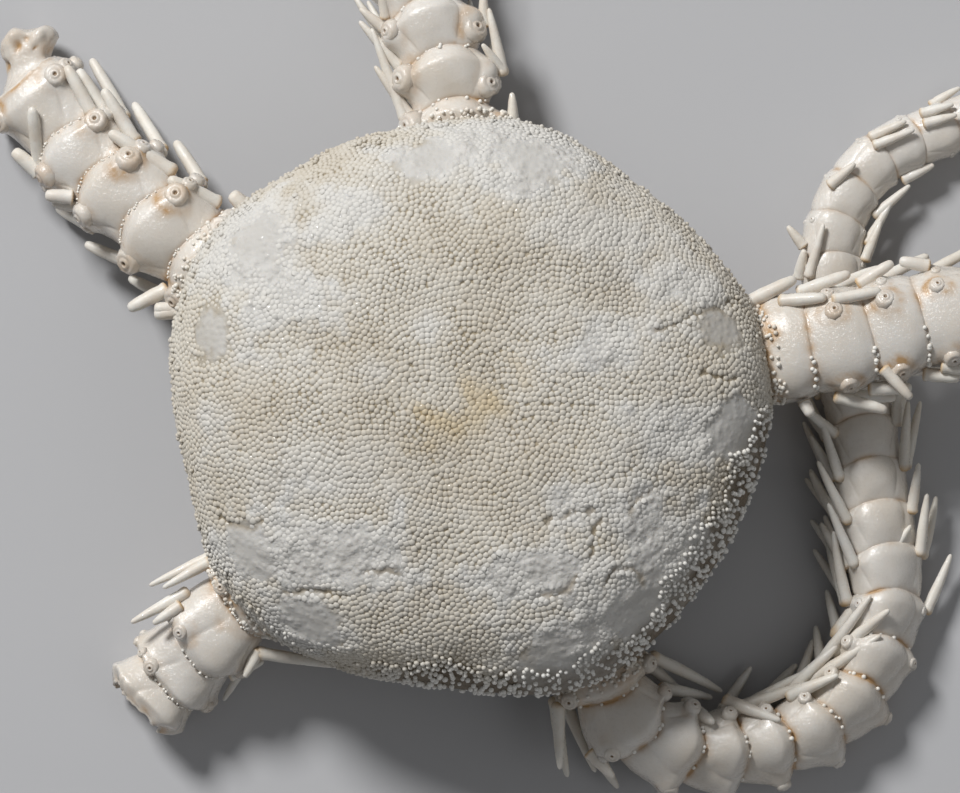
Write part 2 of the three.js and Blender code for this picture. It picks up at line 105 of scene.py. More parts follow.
# seen are the stretches that the photograph shows from above, where the spines stand as it has them:
# base and tip of each, in its pixels
arms = {
    "arm_right": {
        "nodes": 5, "towards": 6, "width": 3.9, "seed": 11, "shape": "stout", "stout": 0.9,
        "seen": [(0, 8.6)],
        "way": [(8.6, 1.9), (12, 2.2), (16.8, 3.2), (21.5, 3.6), (26.2, 2.4), (29.8, -1), (31.6, -5.6),
                (32.6, -10.6), (34.8, -15.4), (38.6, -18.6), (43.4, -19.6), (48, -18), (50.4, -14)],
        "lift": [(0, 1.9), (4, 2.7), (9, 2.8), (19, 0)], "turn": [(0, 12), (10, 8), (20, 0)],
        "waist": 0.95, "groove": 0.08, "bulge": 0.4, "slim": 0.98, "bow": 0.12,
        "bold": [(0, 1), (14, 0.7), (60, 0.3)], "plateNear": 46, "plateFar": 58, "first": 1.25,
        "knob": 0.86, "topRow": 42, "knobPlace": 1.45, "bareTo": 2.3,
        "ringStain": 1.5, "rootStainAndShade": 0.95, "rootTo": 1.9,
        "spinesSeen": [
            ((749, 304), (799, 278)), ((799, 288), (851, 269)), ((785, 302), (829, 298)),
            ((832, 302), (880, 291)), ((858, 283), (893, 261)), ((929, 266), (899, 261)),
            ((882, 368), (910, 399)), ((872, 408), (915, 407)), ((839, 420), (891, 434)),
            ((941, 366), (975, 371)), ((926, 387), (962, 391)), ((808, 410), (815, 424)),
        ],
    },
    "arm_top": {
        "nodes": 5, "towards": 87, "width": 3.45, "seed": 23, "shape": "slender", "stout": 0.82,
        "seen": [(0, 5.4)],
        "way": [(-0.3, 8.6), (-0.8, 11.4), (-1.6, 14), (-2.9, 18.2), (-5.6, 22.2), (-9.8, 24.8),
                (-14.8, 25.4),
                (-19.8, 24.2), (-24.2, 21.6), (-28, 18), (-31.2, 13.8), (-33, 8.8), (-32.4, 3.8)],
        "lift": [(0, 1.1), (3, 1.1), (12, 0)],
        "waist": 0.81, "groove": 0.12, "bulge": 1.5, "slim": 0.97, "bow": 0.40,
        "bold": [(0, 1), (8, 0.8), (60, 0.3)], "plateNear": 26, "plateFar": 44,
        "knob": 1.16, "topRow": 56, "knobPlace": 0.60, "skew": 0.4, "ringStain": 0.75, "rootStainAndShade": 0.35,
        "spinesSeen": [
            ((397, 121), (363, 27)), ((392, 118), (356, 67)), ((371, 74), (330, 27)), ((359, 36), (335, 15)),
            ((511, 71), (496, 4)), ((483, 25), (483, -12)), ((533, 63), (511, 36)), ((533, 126), (531, 88)),
            ((542, 129), (547, 108)), ((372, 20), (366, -24)),
        ],
    },
    "arm_lower_right": {
        "nodes": 6, "towards": 298, "width": 3.45, "seed": 37, "shape": "slender", "stout": 1.05,
        "way": [(4.1, -8.2), (5.6, -10.9), (7.9, -11.8), (10.3, -11.6), (12.4, -10.7), (13.8, -9),
                (14.4, -6.6),
                (14.1, -4), (13.4, 0.4), (12.6, 4.6), (12.9, 6.9), (14.3, 8.7), (16.8, 9.8), (21, 11.4),
                (24.4, 14.4), (26, 18.8), (28.4, 22.6), (32.6, 24), (36.4, 22), (37.8, 18)],
        "lift": [(0, 1.1), (2, 0.9), (8, 0)], "roll": [(0, 0), (5, 38), (14, 38), (21, 10), (60, 0)],
        "turn": [(0, 0), (4, -42), (8, -30), (14, -24), (21, -4), (60, 0)], "seen": [(2, 14.5), (24, 35)],
        "waist": 0.83, "groove": 0.19, "bulge": 1.0, "slim": 0.97, "bow": 0.34,
        "bold": [(0, 1), (11, 0.85), (18, 0.2), (60, 0.15)], "plateNear": 30, "plateFar": 46,
        # This arm's joints are darkened most: painted shade for the deep joints, with some stain
        "knob": 0.76, "topRow": 54, "outerDrop": 22, "ringStain": 0.4, "rootStainAndShade": 0.5, "jointStainAndShade": 1.7,
        "spinesSeen": [
            ((729, 674), (806, 647)), ((737, 689), (809, 649)), ((724, 689), (780, 709)),
            ((791, 699), (841, 677)), ((801, 684), (880, 631)), ((829, 654), (885, 607)),
            ((819, 649), (829, 624)), ((839, 639), (916, 526)), ((704, 674), (720, 684)),
            ((590, 754), (615, 781)), ((786, 690), (838, 640)), ((812, 664), (866, 590)),
            ((875, 135), (911, 118)), ((879, 144), (919, 127)), ((926, 111), (959, 101)),
            ((929, 122), (962, 112)), ((834, 184), (859, 161)), ((808, 245), (791, 224)),
            ((799, 276), (804, 248)), ((813, 276), (827, 222)), ((869, 259), (886, 219)),
            ((889, 219), (925, 187)), ((891, 245), (915, 203)), ((918, 192), (950, 176)),
        ],
    },
    "arm_upper_left": {
        "nodes": 1, "towards": 153, "width": 4.0, "seed": 41, "shape": "stout", "stout": 0.98,
        "seen": [(0, 12)],
        "way": [(-7.6, 4.2), (-10.7, 6.5), (-13.4, 9), (-15.6, 11.6)], "brokenAt": 10.6,
        "lift": [(0, 1.4), (3, 1.2), (9.5, 0)], "turn": [(0, -20)],
        "waist": 0.87, "groove": 0.09, "bulge": 0.6, "slim": 0.93, "bow": 0.42,
        "plateNear": 27, "plateFar": 44, "first": 2.2,
        "knob": 1.06, "topRow": 45, "ringStain": 1.0, "rootStainAndShade": 0.3,
        "stubTip": (24, 25), "stubTowards": 88, "torn": 0.2,
        "stubWide": [(0, 0.95), (0.38, 0.84), (0.52, 0.86), (0.64, 0.95), (0.76, 1.02), (0.84, 1.01),
                     (0.90, 0.95),
                     (0.95, 0.82), (0.98, 0.64), (1.0, 0.34)],
        "spinesSeen": [
            ((93, 113), (66, 64)), ((106, 106), (79, 65)), ((141, 139), (107, 85)), ((178, 169), (112, 128)),
            ((230, 186), (180, 162)), ((245, 204), (231, 191)), ((26, 178), (20, 117)),
            ((24, 184), (-2, 160)),
            ((69, 202), (41, 199)), ((63, 219), (38, 214)), ((160, 297), (121, 317)),
            ((173, 314), (150, 312)),
            ((173, 327), (141, 331)),
        ],
    },
    "arm_lower_left": {
        "nodes": 1, "towards": 223, "width": 3.6, "seed": 53, "shape": "slender", "stout": 0.85,
        "seen": [(0, 8)],
        "way": [(-6.8, -5.6), (-8.5, -7.3), (-10, -8.9), (-11.4, -10.3)], "brokenAt": 6.6,
        "lift": [(0, 1.4), (2, 1.1), (5.6, 0)], "turn": [(0, -30)],
        "waist": 0.80, "groove": 0.14, "bulge": 1.0, "slim": 0.97, "bow": 0.34,
        "bold": [(0, 0.8), (12, 0.7)], "plateNear": 28, "plateFar": 44,
        "knob": 0.80, "topRow": 50, "ringStain": 0.95, "rootStainAndShade": 0.8,
        "stubTip": (146, 700), "stubTowards": 223, "torn": 0.9,
        "stubWide": [(0, 1.25), (0.4, 1.1), (0.7, 0.85), (0.9, 0.5), (1.0, 0.2)],
        "spinesSeen": [
            ((213, 555), (147, 587)), ((213, 562), (163, 589)), ((187, 590), (129, 622)),
            ((186, 602), (156, 621)),
            ((270, 667), (361, 681)), ((248, 693), (282, 678)), ((290, 683), (276, 710)),
        ],
    },
}
arms = {name: {**armPlain, **arm} for name, arm in arms.items()}


def unit(vectors):
    return vectors / np.maximum(np.linalg.norm(vectors, axis=-1, keepdims=True), 1e-12)


def smooth(value, low, high):
    share = np.clip((np.asarray(value, float) - low) / (high - low), 0, 1)
    return share * share * (3 - 2 * share)


def ramp(knots, at):
    value = np.full(np.shape(at), float(knots[0][1]))
    for (start, low), (end, high) in zip(knots, knots[1:]):
        value = value + (high - low) * smooth(at, start, end)
    return value


# An angle brought to within half a turn of 0
def wrapped(angle):
    return (angle + math.pi) % (2 * math.pi) - math.pi


# Soft unevenness from about -1 to 1, with bumps about the given size across
def waves(points, size, seed, count=9):
    draw = np.random.default_rng(seed)
    total = np.zeros(points.shape[:-1])
    for _ in range(count):
        way = unit(draw.normal(size=3)) * 2 * math.pi / (size * draw.uniform(0.7, 1.6))
        total = total + np.sin(points @ way + draw.uniform(0, 2 * math.pi))
    return total / math.sqrt(count)


def fromPhoto(place):
    x, y = place[0] - photo["discAt"][0], photo["discAt"][1] - place[1]
    return (x / photo["perMm"], y / photo["perMm"])


def discReach(angle):
    reach = np.full(np.shape(angle), disc["middle"])
    for lobes, size, towards in disc["swells"]:
        reach = reach + size * np.cos(lobes * (angle - math.radians(towards)))
    return reach


# How far places lie outside the disc's outline, as seen from above
def pastDisc(points):
    return np.hypot(points[..., 0], points[..., 1]) - discReach(np.arctan2(points[..., 1], points[..., 0]))


def discPoint(angle, polar, grow):
    reach = (discReach(angle) + grow) * np.maximum(np.sin(polar), 0) ** disc["rimSquare"]
    rise = np.cos(polar)
    over = disc["waist"] + (disc["top"] - disc["waist"] + grow) * np.abs(rise) ** disc["topSquare"]
    under = disc["waist"] - (disc["waist"] - disc["under"] + grow) * np.abs(rise) ** disc["underSquare"]
    return np.stack([reach * np.cos(angle), reach * np.sin(angle), np.where(rise > 0, over, under)], axis=-1)


# The solid's disc is the outline at 40 angles; its box gives where the disc's middle stands
def findMiddle():
    low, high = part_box("disc")
    angles = np.radians(np.arange(0, 360, 9))
    outline = discReach(angles) * math.sin(5 * math.pi / 11) ** disc["rimSquare"]
    x, y = outline * np.cos(angles), outline * np.sin(angles)
    return np.array([(low[0] + high[0]) / 2 / mm - (x.min() + x.max()) / 2,
                     (low[1] + high[1]) / 2 / mm - (y.min() + y.max()) / 2, 0])


discMiddle = findMiddle()
print("middle of the disc in mm", discMiddle.round(3))


def placed(points):
    return (np.asarray(points, float) + discMiddle) * mm


def newObject(name, data):
    thing = bpy.data.objects.new(name, data)
    bpy.context.scene.collection.objects.link(thing)
    return thing


def makeObject(name, points, faces, values=None, cornerUv=None, material=None):
    mesh = bpy.data.meshes.new(name)
    mesh.from_pydata(placed(points).tolist(), [], faces)
    for key, value in (values or {}).items():
        value = np.asarray(value, float)
        kind, field = ("FLOAT_VECTOR", "vector") if value.ndim == 2 else ("FLOAT", "value")
        mesh.attributes.new(key, kind, "POINT").data.foreach_set(field, value.ravel())
    if cornerUv is not None:
        mesh.uv_layers.new(name="OFBake").uv.foreach_set("vector", np.asarray(cornerUv, float).ravel())
    mesh.polygons.foreach_set("use_smooth", [True] * len(mesh.polygons))
    if material:
        mesh.materials.append(material)
    return newObject(name, mesh)


# A closed skin over rings of points, wound so that it looks outwards, with a point at both ends
def ringFaces(ringCount, columns):
    rows, cols = np.meshgrid(np.arange(ringCount - 1), np.arange(columns), indexing="ij")
    after = (cols + 1) % columns
    quads = np.stack([rows * columns + cols, rows * columns + after,
                      (rows + 1) * columns + after, (rows + 1) * columns + cols], axis=-1).reshape(-1, 4)
    first, last, base = ringCount * columns, ringCount * columns + 1, (ringCount - 1) * columns
    pairs = [(k, (k + 1) % columns) for k in range(columns)]
    return (quads.tolist() + [[first, end, start] for start, end in pairs]
            + [[last, base + start, base + end] for start, end in pairs])


# The unwrap of such a skin: along it and round it
def ringUv(along, columns, lowest, highest):
    share = lowest + (highest - lowest) * np.asarray(along)
    rows, cols = np.meshgrid(np.arange(len(share) - 1), np.arange(columns), indexing="ij")
    corners = [np.stack([share[rows + row], (cols + col) / columns], axis=-1)
               for row, col in ((0, 0), (0, 1), (1, 1), (1, 0))]
    caps = []
    for value, order in ((share[0], (1, 0)), (share[-1], (0, 1))):
        for col in range(columns):
            caps += [(value, (col + 0.5) / columns)] + [(value, (col + step) / columns) for step in order]
    return np.vstack([np.stack(corners, axis=-2).reshape(-1, 2), caps])


def layLine(arm):
    way = np.array(arm["way"], float)
    way = np.vstack([2 * way[0] - way[1], way, 2 * way[-1] - way[-2]])
    share = np.linspace(0, 1, 61)[:-1, None]
    stretches = []
    for before, start, end, after in zip(way, way[1:], way[2:], way[3:]):
        leave, arrive = 0.5 * (end - before), 0.5 * (after - start)
        stretches.append((2 * start - 2 * end + leave + arrive) * share ** 3
                         + (3 * end - 3 * start - 2 * leave - arrive) * share ** 2 + leave * share + start)
    line = np.vstack(stretches + [way[-2:-1]])
    arm["line"] = line
    arm["away"] = np.concatenate([[0], np.cumsum(np.linalg.norm(np.diff(line, axis=0), axis=1))])
    arm["ahead"] = unit(np.gradient(line, arm["away"], axis=0))
    arm["full"] = arm["away"][-1]
    arm["reach"] = arm["brokenAt"] or arm["full"]
    arm["taperOver"] = armMake["brokenTaper"] if arm["brokenAt"] else arm["full"]
    joints = [0, arm["first"]]
    while joints[-1] < arm["reach"] - armMake["lastJoint"]:
        pitch = armMake["pitchLeast"] + armMake["pitchByWidth"] * float(widthAt(arm, joints[-1]))
        joints.append(joints[-1] + pitch)
    joints[-1] = arm["reach"]
    arm["joints"] = np.array(joints)
    arm["vary"] = np.random.default_rng(arm["seed"] + 30).uniform(0.86, 1.14, len(joints))


def widthAt(arm, at):
    share = np.asarray(at) / arm["taperOver"]
    return arm["width"] * (1 - share) + armMake["tipWidth"] * share


# How far the pattern of the plates is rolled round the arm
def turnAt(arm, at):
    return np.radians(ramp(arm["turn"], at))


# An angle round the arm, counted from the middle of its back plates
def fromBack(arm, at, around):
    return wrapped(around - turnAt(arm, at))


# The joint that a distance falls in, its length and the share of it that lies behind; nudge settles the ends
def jointAt(arm, at, nudge):
    joints = arm["joints"]
    index = np.clip(np.searchsorted(joints, at + nudge) - 1, 0, len(joints) - 2)
    pitch = joints[index + 1] - joints[index]
    return index, pitch, np.clip((at - joints[index]) / pitch, 0, 1)


def middleHeight(arm, at):
    depth = armMake["high"] * armMake["belly"] * 0.5 * widthAt(arm, at)
    return depth - armMake["sunk"] + ramp(arm["lift"], at)


# Place and directions of the arm's middle: along it, to its side and out of its back
def framesAt(arm, at):
    at = np.asarray(at, float)
    place, flat = (np.stack([np.interp(at, arm["away"], arm[key][:, k]) for k in (0, 1)], axis=-1)
                   for key in ("line", "ahead"))
    flat = unit(flat)
    place = place + flat * np.maximum(at - arm["full"], 0)[..., None]
    place = np.concatenate([place, middleHeight(arm, at)[..., None]], axis=-1)
    climb = (middleHeight(arm, at + 0.2) - middleHeight(arm, at - 0.2)) / 0.4
    ahead = unit(np.concatenate([flat, climb[..., None]], axis=-1))
    side = unit(np.cross(ahead, np.array([0.0, 0.0, 1.0])))
    back = np.cross(side, ahead)
    roll = np.radians(ramp(arm["roll"], at))[..., None]
    cos, sin = np.cos(roll), np.sin(roll)
    return place, ahead, side * cos - back * sin, back * cos + side * sin


def squared(value, power):
    return np.sign(value) * np.abs(value) ** power


def armPoint(arm, at, around, reach):
    place, _, side, back = framesAt(arm, np.broadcast_to(at, np.shape(around)))
    half = 0.5 * widthAt(arm, at) * reach
    across = half * squared(np.sin(around), armMake["square"])
    rise = half * armMake["high"] * squared(np.cos(around), armMake["square"])
    up = np.where(rise < 0, rise * armMake["belly"], rise)
    return place + side * across[..., None] + back * up[..., None]


# How far the joints bow towards the tip of the arm over its back
def bowAt(arm, at, around):
    over = np.cos(np.clip(fromBack(arm, at, around) * 90 / 74, -math.pi / 2, math.pi / 2)) ** 2
    ends = smooth(arm["reach"] - at, 0.1, 1.3) * smooth(at, 0.1, 1.0)
    return arm["bow"] * np.clip(widthAt(arm, at) / arm["width"], 0.2, 1) * over * ends


# Half the angle that the plate on the back takes up: it opens like a fan and rounds off at its far edge
def plateEdge(arm, index, share):
    near, far = (math.radians(arm[key]) * arm["vary"][index] for key in ("plateNear", "plateFar"))
    widest, beyond = 0.78, 0.22
    opening = near + (far - near) * smooth(share, -0.15, widest)
    closing = near + (far - near) * np.sqrt(np.clip(1 - ((share - widest) / beyond) ** 2, 0, 1))
    return np.where(share < widest, opening, closing)


def bellyEdge(share):
    return math.radians(140) - math.radians(9) * np.sin(math.pi * share)


# Where the knobs stand that carry the spines
def placeKnobs(arm):
    draw = np.random.default_rng(arm["seed"])
    knobs = []
    for start, end in zip(arm["joints"], arm["joints"][1:]):
        at = start + arm["knobPlace"] * (end - start)
        if at > arm["reach"] - 0.3 or at < arm["bareTo"]:
            continue
        width = float(widthAt(arm, at))
        count, lowered, lowest = next(row[1:] for row in armMake["knobRows"] if width > row[0])
        top = min(arm["topRow"] + lowered, 76)
        for side in (-1, 1):
            for row in range(count):
                turn = top + (lowest - top) * row / (count - 1) + draw.uniform(-3, 3)
                dropped = arm["outerDrop"] * (side > 0) * (4 < at < 13)
                rowSize = 0.76 - 0.05 * row if row else 1
                knobs.append({
                    "row": row, "side": side, "dropped": dropped, "bold": float(ramp(arm["bold"], at)),
                    "size": arm["knob"] * (0.55 + 0.45 * width / 3.8) * draw.uniform(0.88, 1.08) * rowSize,
                    "at": at - side * arm["skew"] + draw.uniform(-0.06, 0.06) - 0.03 * row,
                    "around": side * math.radians(turn + dropped) + turnAt(arm, at),
                    "stain": arm["ringStain"] * draw.uniform(0.5, 1.0) * (0.5 if row else 1)})
    return knobs


# From -1 in a groove to 0 on the cushion beside it
def shoulder(away):
    return np.sqrt(1 - (1 - np.clip(away, 0, 1)) ** 2) - 1


def bell(value, width):
    return np.exp(-(value / width) ** 2)


# Rise of the plates over the plain section, with stain and painted shade in the grooves, for places and
# angles as (n, m)
def reliefOf(arm, at, around):
    at = at + 0 * around
    index, pitch, share = jointAt(arm, np.maximum(at - bowAt(arm, at, around), 0), 1e-6)
    half = 0.5 * widthAt(arm, at)
    size = np.clip(half / 1.9, 0.2, 1.1)
    turn = np.abs(fromBack(arm, at, around))
    bold = ramp(arm["bold"], at)
    edge = plateEdge(arm, index, share)
    slope = (plateEdge(arm, index, np.minimum(share + 0.02, 0.999))
             - plateEdge(arm, index, np.maximum(share - 0.02, 0.0))) / 0.04 / pitch
    toJoint = np.minimum(share, 1 - share) * pitch
    toEdge = np.abs(turn - edge) * half * (1 / np.sqrt(1 + (slope * half) ** 2))
    toBelly = np.abs(turn - bellyEdge(share)) * half
    # Each plate slopes up from the joint before it and ends in a steeper edge at the next
    steep = np.minimum(share * pitch / armMake["shoulderNear"], (1 - share) * pitch / armMake["shoulderFar"])
    steep = steep / size
    atEdge = armMake["edgeShare"] * shoulder(np.minimum(toEdge, toBelly) / (armMake["edgeShoulder"] * size))
    rise = arm["groove"] * size * np.minimum(shoulder(steep), atEdge) * (0.3 + 0.7 * bold)
    onBack = np.clip(1 - (turn / edge) ** 2, 0, 1)
    rise = rise + armMake["dome"] * half * onBack * np.clip(1 - ((share - 0.58) / 0.58) ** 2, 0, 1)
    flank = smooth(turn, *np.radians([38, 62])) * (1 - smooth(turn, *np.radians([118, 140])))
    rise = rise + 0.10 * arm["bulge"] * half * flank * bell(share - arm["knobPlace"] % 1, 0.2) * bold
    # The joints and the plates' edges are darkened brown: partly stain, partly painted shade in the grooves
    stain = (0.5 * bell(toJoint, 0.10 * size) + 0.25 * bell(toJoint, 0.3 * size)) * arm["jointStainAndShade"]
    stain = np.maximum(stain, 0.14 * bell(toEdge, 0.1 * size)) * (0.35 + 0.65 * bold)
    swell = np.where(share < armMake["swellPlace"], share / armMake["swellPlace"],
                     (1 - share) / (1 - armMake["swellPlace"]))
    reach = arm["slim"] * (1 - (1 - arm["waist"]) * bold * (1 - smooth(swell, -0.1, 1.1)))
    for knob in arm["knobs"]:
        rows = np.abs(at[:, 0] - knob["at"]) < 2.0
        if rows.any():
            wide = armMake["knobWide"] * knob["size"]
            away = np.hypot(at[rows] - knob["at"], wrapped(around[rows] - knob["around"]) * half[rows])
            bump = np.exp(-(away / wide) ** 2.4 * 0.9)
            rise[rows] += armMake["knobRise"] * knob["size"] * knob["bold"] * bump
            ring = bell(away - 1.12 * wide, 0.4 * wide)
            stain[rows] = np.maximum(stain[rows], knob["stain"] * knob["bold"] * ring)
    return reach, rise, stain


def armSkinPoint(arm, at, around):
    reach, rise, stain = reliefOf(arm, at, around)
    return armPoint(arm, at, around, reach + rise / (0.5 * widthAt(arm, at))), stain


for arm in arms.values():
    layLine(arm)
    arm["knobs"] = placeKnobs(arm)
    arm["coreAt"] = np.arange(0, arm["reach"], 0.4)
    arm["core"], arm["coreHalf"] = framesAt(arm, arm["coreAt"])[0], 0.5 * widthAt(arm, arm["coreAt"])


# A node tree that is being built. What goes into a node is a number, a colour or another node's output.
class Weave:
    def __init__(self, tree):
        self.tree = tree
        self.where = None   # the coordinates that its textures read

    def add(self, kind, inputs, **settings):
        node = self.tree.nodes.new(kind)
        for key, value in settings.items():
            setattr(node, key, value)
        self.fill(node, inputs)
        return node

    def fill(self, node, inputs):
        for key, value in inputs.items():
            socket = node.inputs[key]
            if isinstance(value, bpy.types.NodeSocket):
                self.tree.links.new(value, socket)
            else:
                socket.default_value = (*value, 1) if socket.type == "RGBA" else value

    def noise(self, scale, detail=4.0, roughness=0.55):
        return self.add("ShaderNodeTexNoise", {"Vector": self.where, "Scale": scale, "Detail": detail,
                                               "Roughness": roughness}).outputs["Fac"]

    def cobbles(self, scale):
        return self.add("ShaderNodeTexVoronoi", {"Vector": self.where, "Scale": scale, "Smoothness": 0.7},
                        feature="SMOOTH_F1").outputs["Distance"]

    def between(self, value, fromLow, fromHigh, toLow=0, toHigh=1):
        return self.add("ShaderNodeMapRange", {"Value": value, "From Min": fromLow, "From Max": fromHigh,
                                               "To Min": toLow, "To Max": toHigh}).outputs["Result"]

    def mix(self, share, one, other):
        return self.add("ShaderNodeMix", {"Factor": share, 6: one, 7: other}, data_type="RGBA").outputs[2]

    def times(self, one, other):
        return self.add("ShaderNodeMath", {0: one, 1: other}, operation="MULTIPLY", use_clamp=True).outputs[0]

    def layer(self, name):
        return self.add("ShaderNodeAttribute", {}, attribute_name=name).outputs["Fac"]

    def bump(self, height, distance, strength, before=None):
        inputs = {"Height": height, "Distance": distance, "Strength": strength}
        inputs = {**inputs, "Normal": before} if before else inputs
        return self.add("ShaderNodeBump", inputs).outputs["Normal"]


def newMaterial(name):
    material = bpy.data.materials.new(name)
    material.use_nodes = True
    material.node_tree.nodes.clear()
    weave = Weave(material.node_tree)
    shader = weave.add("ShaderNodeBsdfPrincipled", {})
    weave.add("ShaderNodeOutputMaterial", {"Surface": shader.outputs["BSDF"]})
    return material, weave, shader


# A material whose textures lie in the space of its object
def texturedMaterial(name):
    material, weave, shader = newMaterial(name)
    weave.where = weave.add("ShaderNodeTexCoord", {}).outputs["Object"]
    return material, weave, shader


# Chalky plates: white to cream, darkened brown where the attribute for stain and painted shade says, with a
# satin gloss that varies
def chalkMaterial(name, look):
    material, weave, shader = texturedMaterial(name)
    between, times, noise, bump = weave.between, weave.times, weave.noise, weave.bump
    colour = weave.mix(between(noise(look["patchScale"]), 0.35, 0.68), look["pale"], look["warm"])
    colour = weave.mix(times(weave.layer("tone"), look["toneShare"]), colour, look["shade"])
    spots = between(noise(look["stainScale"], 5.0), 0.36, 0.62, 0.25, 1.15)
    stain = between(times(weave.layer("stain"), spots), 0.05, 0.95, 0, look["stainMost"])
    colour = weave.mix(stain, colour, look["stain"])
    if "foot" in look:  # the stained foot of a spine
        foot = between(weave.layer("crown"), 0.02, 0.12, 1, 0)
        colour = weave.mix(times(foot, spots), colour, look["foot"])
    colour = weave.mix(weave.layer("pit"), colour, look["deep"])
    gloss = between(noise(look["glossScale"], 3.0), 0.3, 0.7, look["roughLow"], look["roughHigh"])
    crystals = noise(look["crystalScale"], 2.0)
    grain = bump(noise(look["grainScale"], 6.0, 0.65), look["grainDepth"], look["grainShare"])
    dents = bump(noise(look["dentScale"], 3.0), look["dentDepth"], look["dentShare"], grain)
    weave.fill(shader, {
        "Base Color": colour, "Roughness": times(gloss, between(crystals, 0.58, 0.64, 1, look["glints"])),
        "Normal": dents, "Coat Normal": bump(between(crystals, 0.42, 0.62), look["crystalDepth"], 1.0, dents),
        "Coat Weight": look["coat"], "Coat Roughness": 0.27, "Specular IOR Level": look["shine"],
        "Subsurface Weight": look["under"], "Subsurface Radius": (1.0, 0.78, 0.6),
        "Subsurface Scale": 0.0004})
    return material


plateLook = {
    "pale": (0.73, 0.697, 0.65), "warm": (0.68, 0.615, 0.53), "shade": (0.59, 0.545, 0.487),
    "stain": (0.46, 0.265, 0.10), "deep": (0.20, 0.12, 0.055), "stainMost": 0.9, "toneShare": 0.4,
    "patchScale": 420.0, "stainScale": 1500.0, "glossScale": 900.0, "roughLow": 0.24, "roughHigh": 0.46,
    "grainScale": 9000.0, "grainDepth": 0.000016, "grainShare": 0.6,
    "dentScale": 2400.0, "dentDepth": 0.000024, "dentShare": 0.3,
    "crystalScale": 7600.0, "crystalDepth": 0.000016, "glints": 0.08, "under": 0.12,
    "coat": 0.95, "shine": 0.3,
}
spineLook = dict(plateLook, pale=(0.82, 0.80, 0.755), warm=(0.77, 0.735, 0.66), shade=(0.66, 0.61, 0.53),
                 foot=(0.58, 0.40, 0.21), roughLow=0.36, roughHigh=0.6, coat=0.02, shine=0.5, under=0.08,
                 glints=0.25)
beadLook = dict(plateLook, pale=(0.88, 0.86, 0.81), warm=(0.83, 0.79, 0.71), under=0.0, coat=0.0,
                roughLow=0.5,
                roughHigh=0.7)
mouthLook = dict(plateLook, pale=(0.70, 0.65, 0.57), warm=(0.64, 0.56, 0.45), shade=(0.54, 0.47, 0.38),
                 coat=0.04)

discLook = {
    # rim is the dark brown of the skin between the free beads, partly painted shade on the lower right
    "tan": (0.39, 0.325, 0.225), "yellow": (0.34, 0.235, 0.10), "rim": (0.165, 0.128, 0.088),
    "crease": (0.30, 0.235, 0.15), "bare": (0.655, 0.635, 0.60), "bareShade": (0.555, 0.535, 0.50),
    "shield": (0.56, 0.545, 0.515), "shieldShade": (0.50, 0.48, 0.445),
    "bead": (0.58, 0.53, 0.447), "beadPale": (0.65, 0.615, 0.548), "beadShade": (0.475, 0.418, 0.328),
    # beadFree is near white: the free beads' pale colour, with painted light on them
    "beadYellow": (0.57, 0.44, 0.24), "beadWorn": (0.645, 0.625, 0.585), "beadFree": (0.92, 0.905, 0.865),
    "cloudScale": 1500.0, "shieldScale": 700.0, "sparkScale": 7000.0, "beadPatchScale": 330.0,
    "sparkle": 0.12,
    "wrinkleScale": 7000.0, "wrinkleDepth": 0.00007, "cobbleScale": 4400.0, "cobbleDepth": 0.00006,
    # foot is how far the granules' feet take the skin's tan: the skin's colour, partly painted shade between
    # granules
    "beadGrainScale": 16000.0, "beadGrainDepth": 0.00001, "foot": 0.22,
}


# Skin of the disc: brown between the granules, whitish and wrinkled where they are worn, smooth on the
# shields, and dark brown between the free beads at the rim, painted shade on the lower right
def skinMaterial(look):
    material, weave, shader = texturedMaterial("discSkinFinish")
    between, times, noise, mix = weave.between, weave.times, weave.noise, weave.mix
    keys = ("worn", "shield", "gold", "stain", "free")
    worn, shield, gold, stain, free = (weave.layer(key) for key in keys)
    tan = mix(between(free, 0.4, 1), mix(gold, look["tan"], look["yellow"]), look["rim"])
    bare = mix(between(noise(look["cloudScale"], 5.0), 0.35, 0.65), look["bare"], look["bareShade"])
    plate = mix(between(noise(look["shieldScale"]), 0.35, 0.65), look["shield"], look["shieldShade"])
    colour = mix(between(worn, 0.0, 0.8), tan, bare)
    colour = mix(between(shield, 0.1, 0.9, 0, 0.8), colour, plate)
    # Between the free beads the skin turns dark brown: dark skin, and painted shade on the lower right
    colour = mix(between(free, 0.45, 1, 0, 0.75), colour, look["rim"])
    colour = mix(times(stain, 0.75), colour, look["crease"])
    plain = between(shield, 0, 1, 1, 0.35)
    wrinkles = times(noise(look["wrinkleScale"], 5.0, 0.7), plain)
    cobbles = times(between(weave.cobbles(look["cobbleScale"]), 0.1, 0.6, 1, 0), plain)
    lumpy = weave.bump(cobbles, look["cobbleDepth"], 0.8)
    weave.fill(shader, {
        "Base Color": colour, "Normal": weave.bump(wrinkles, look["wrinkleDepth"], 0.7, lumpy),
        "Roughness": between(noise(look["sparkScale"], 2.0), 0.62, 0.68, 0.62, look["sparkle"]),
        "Subsurface Weight": 0.1, "Subsurface Radius": (1.0, 0.75, 0.5), "Subsurface Scale": 0.0003})
    return material


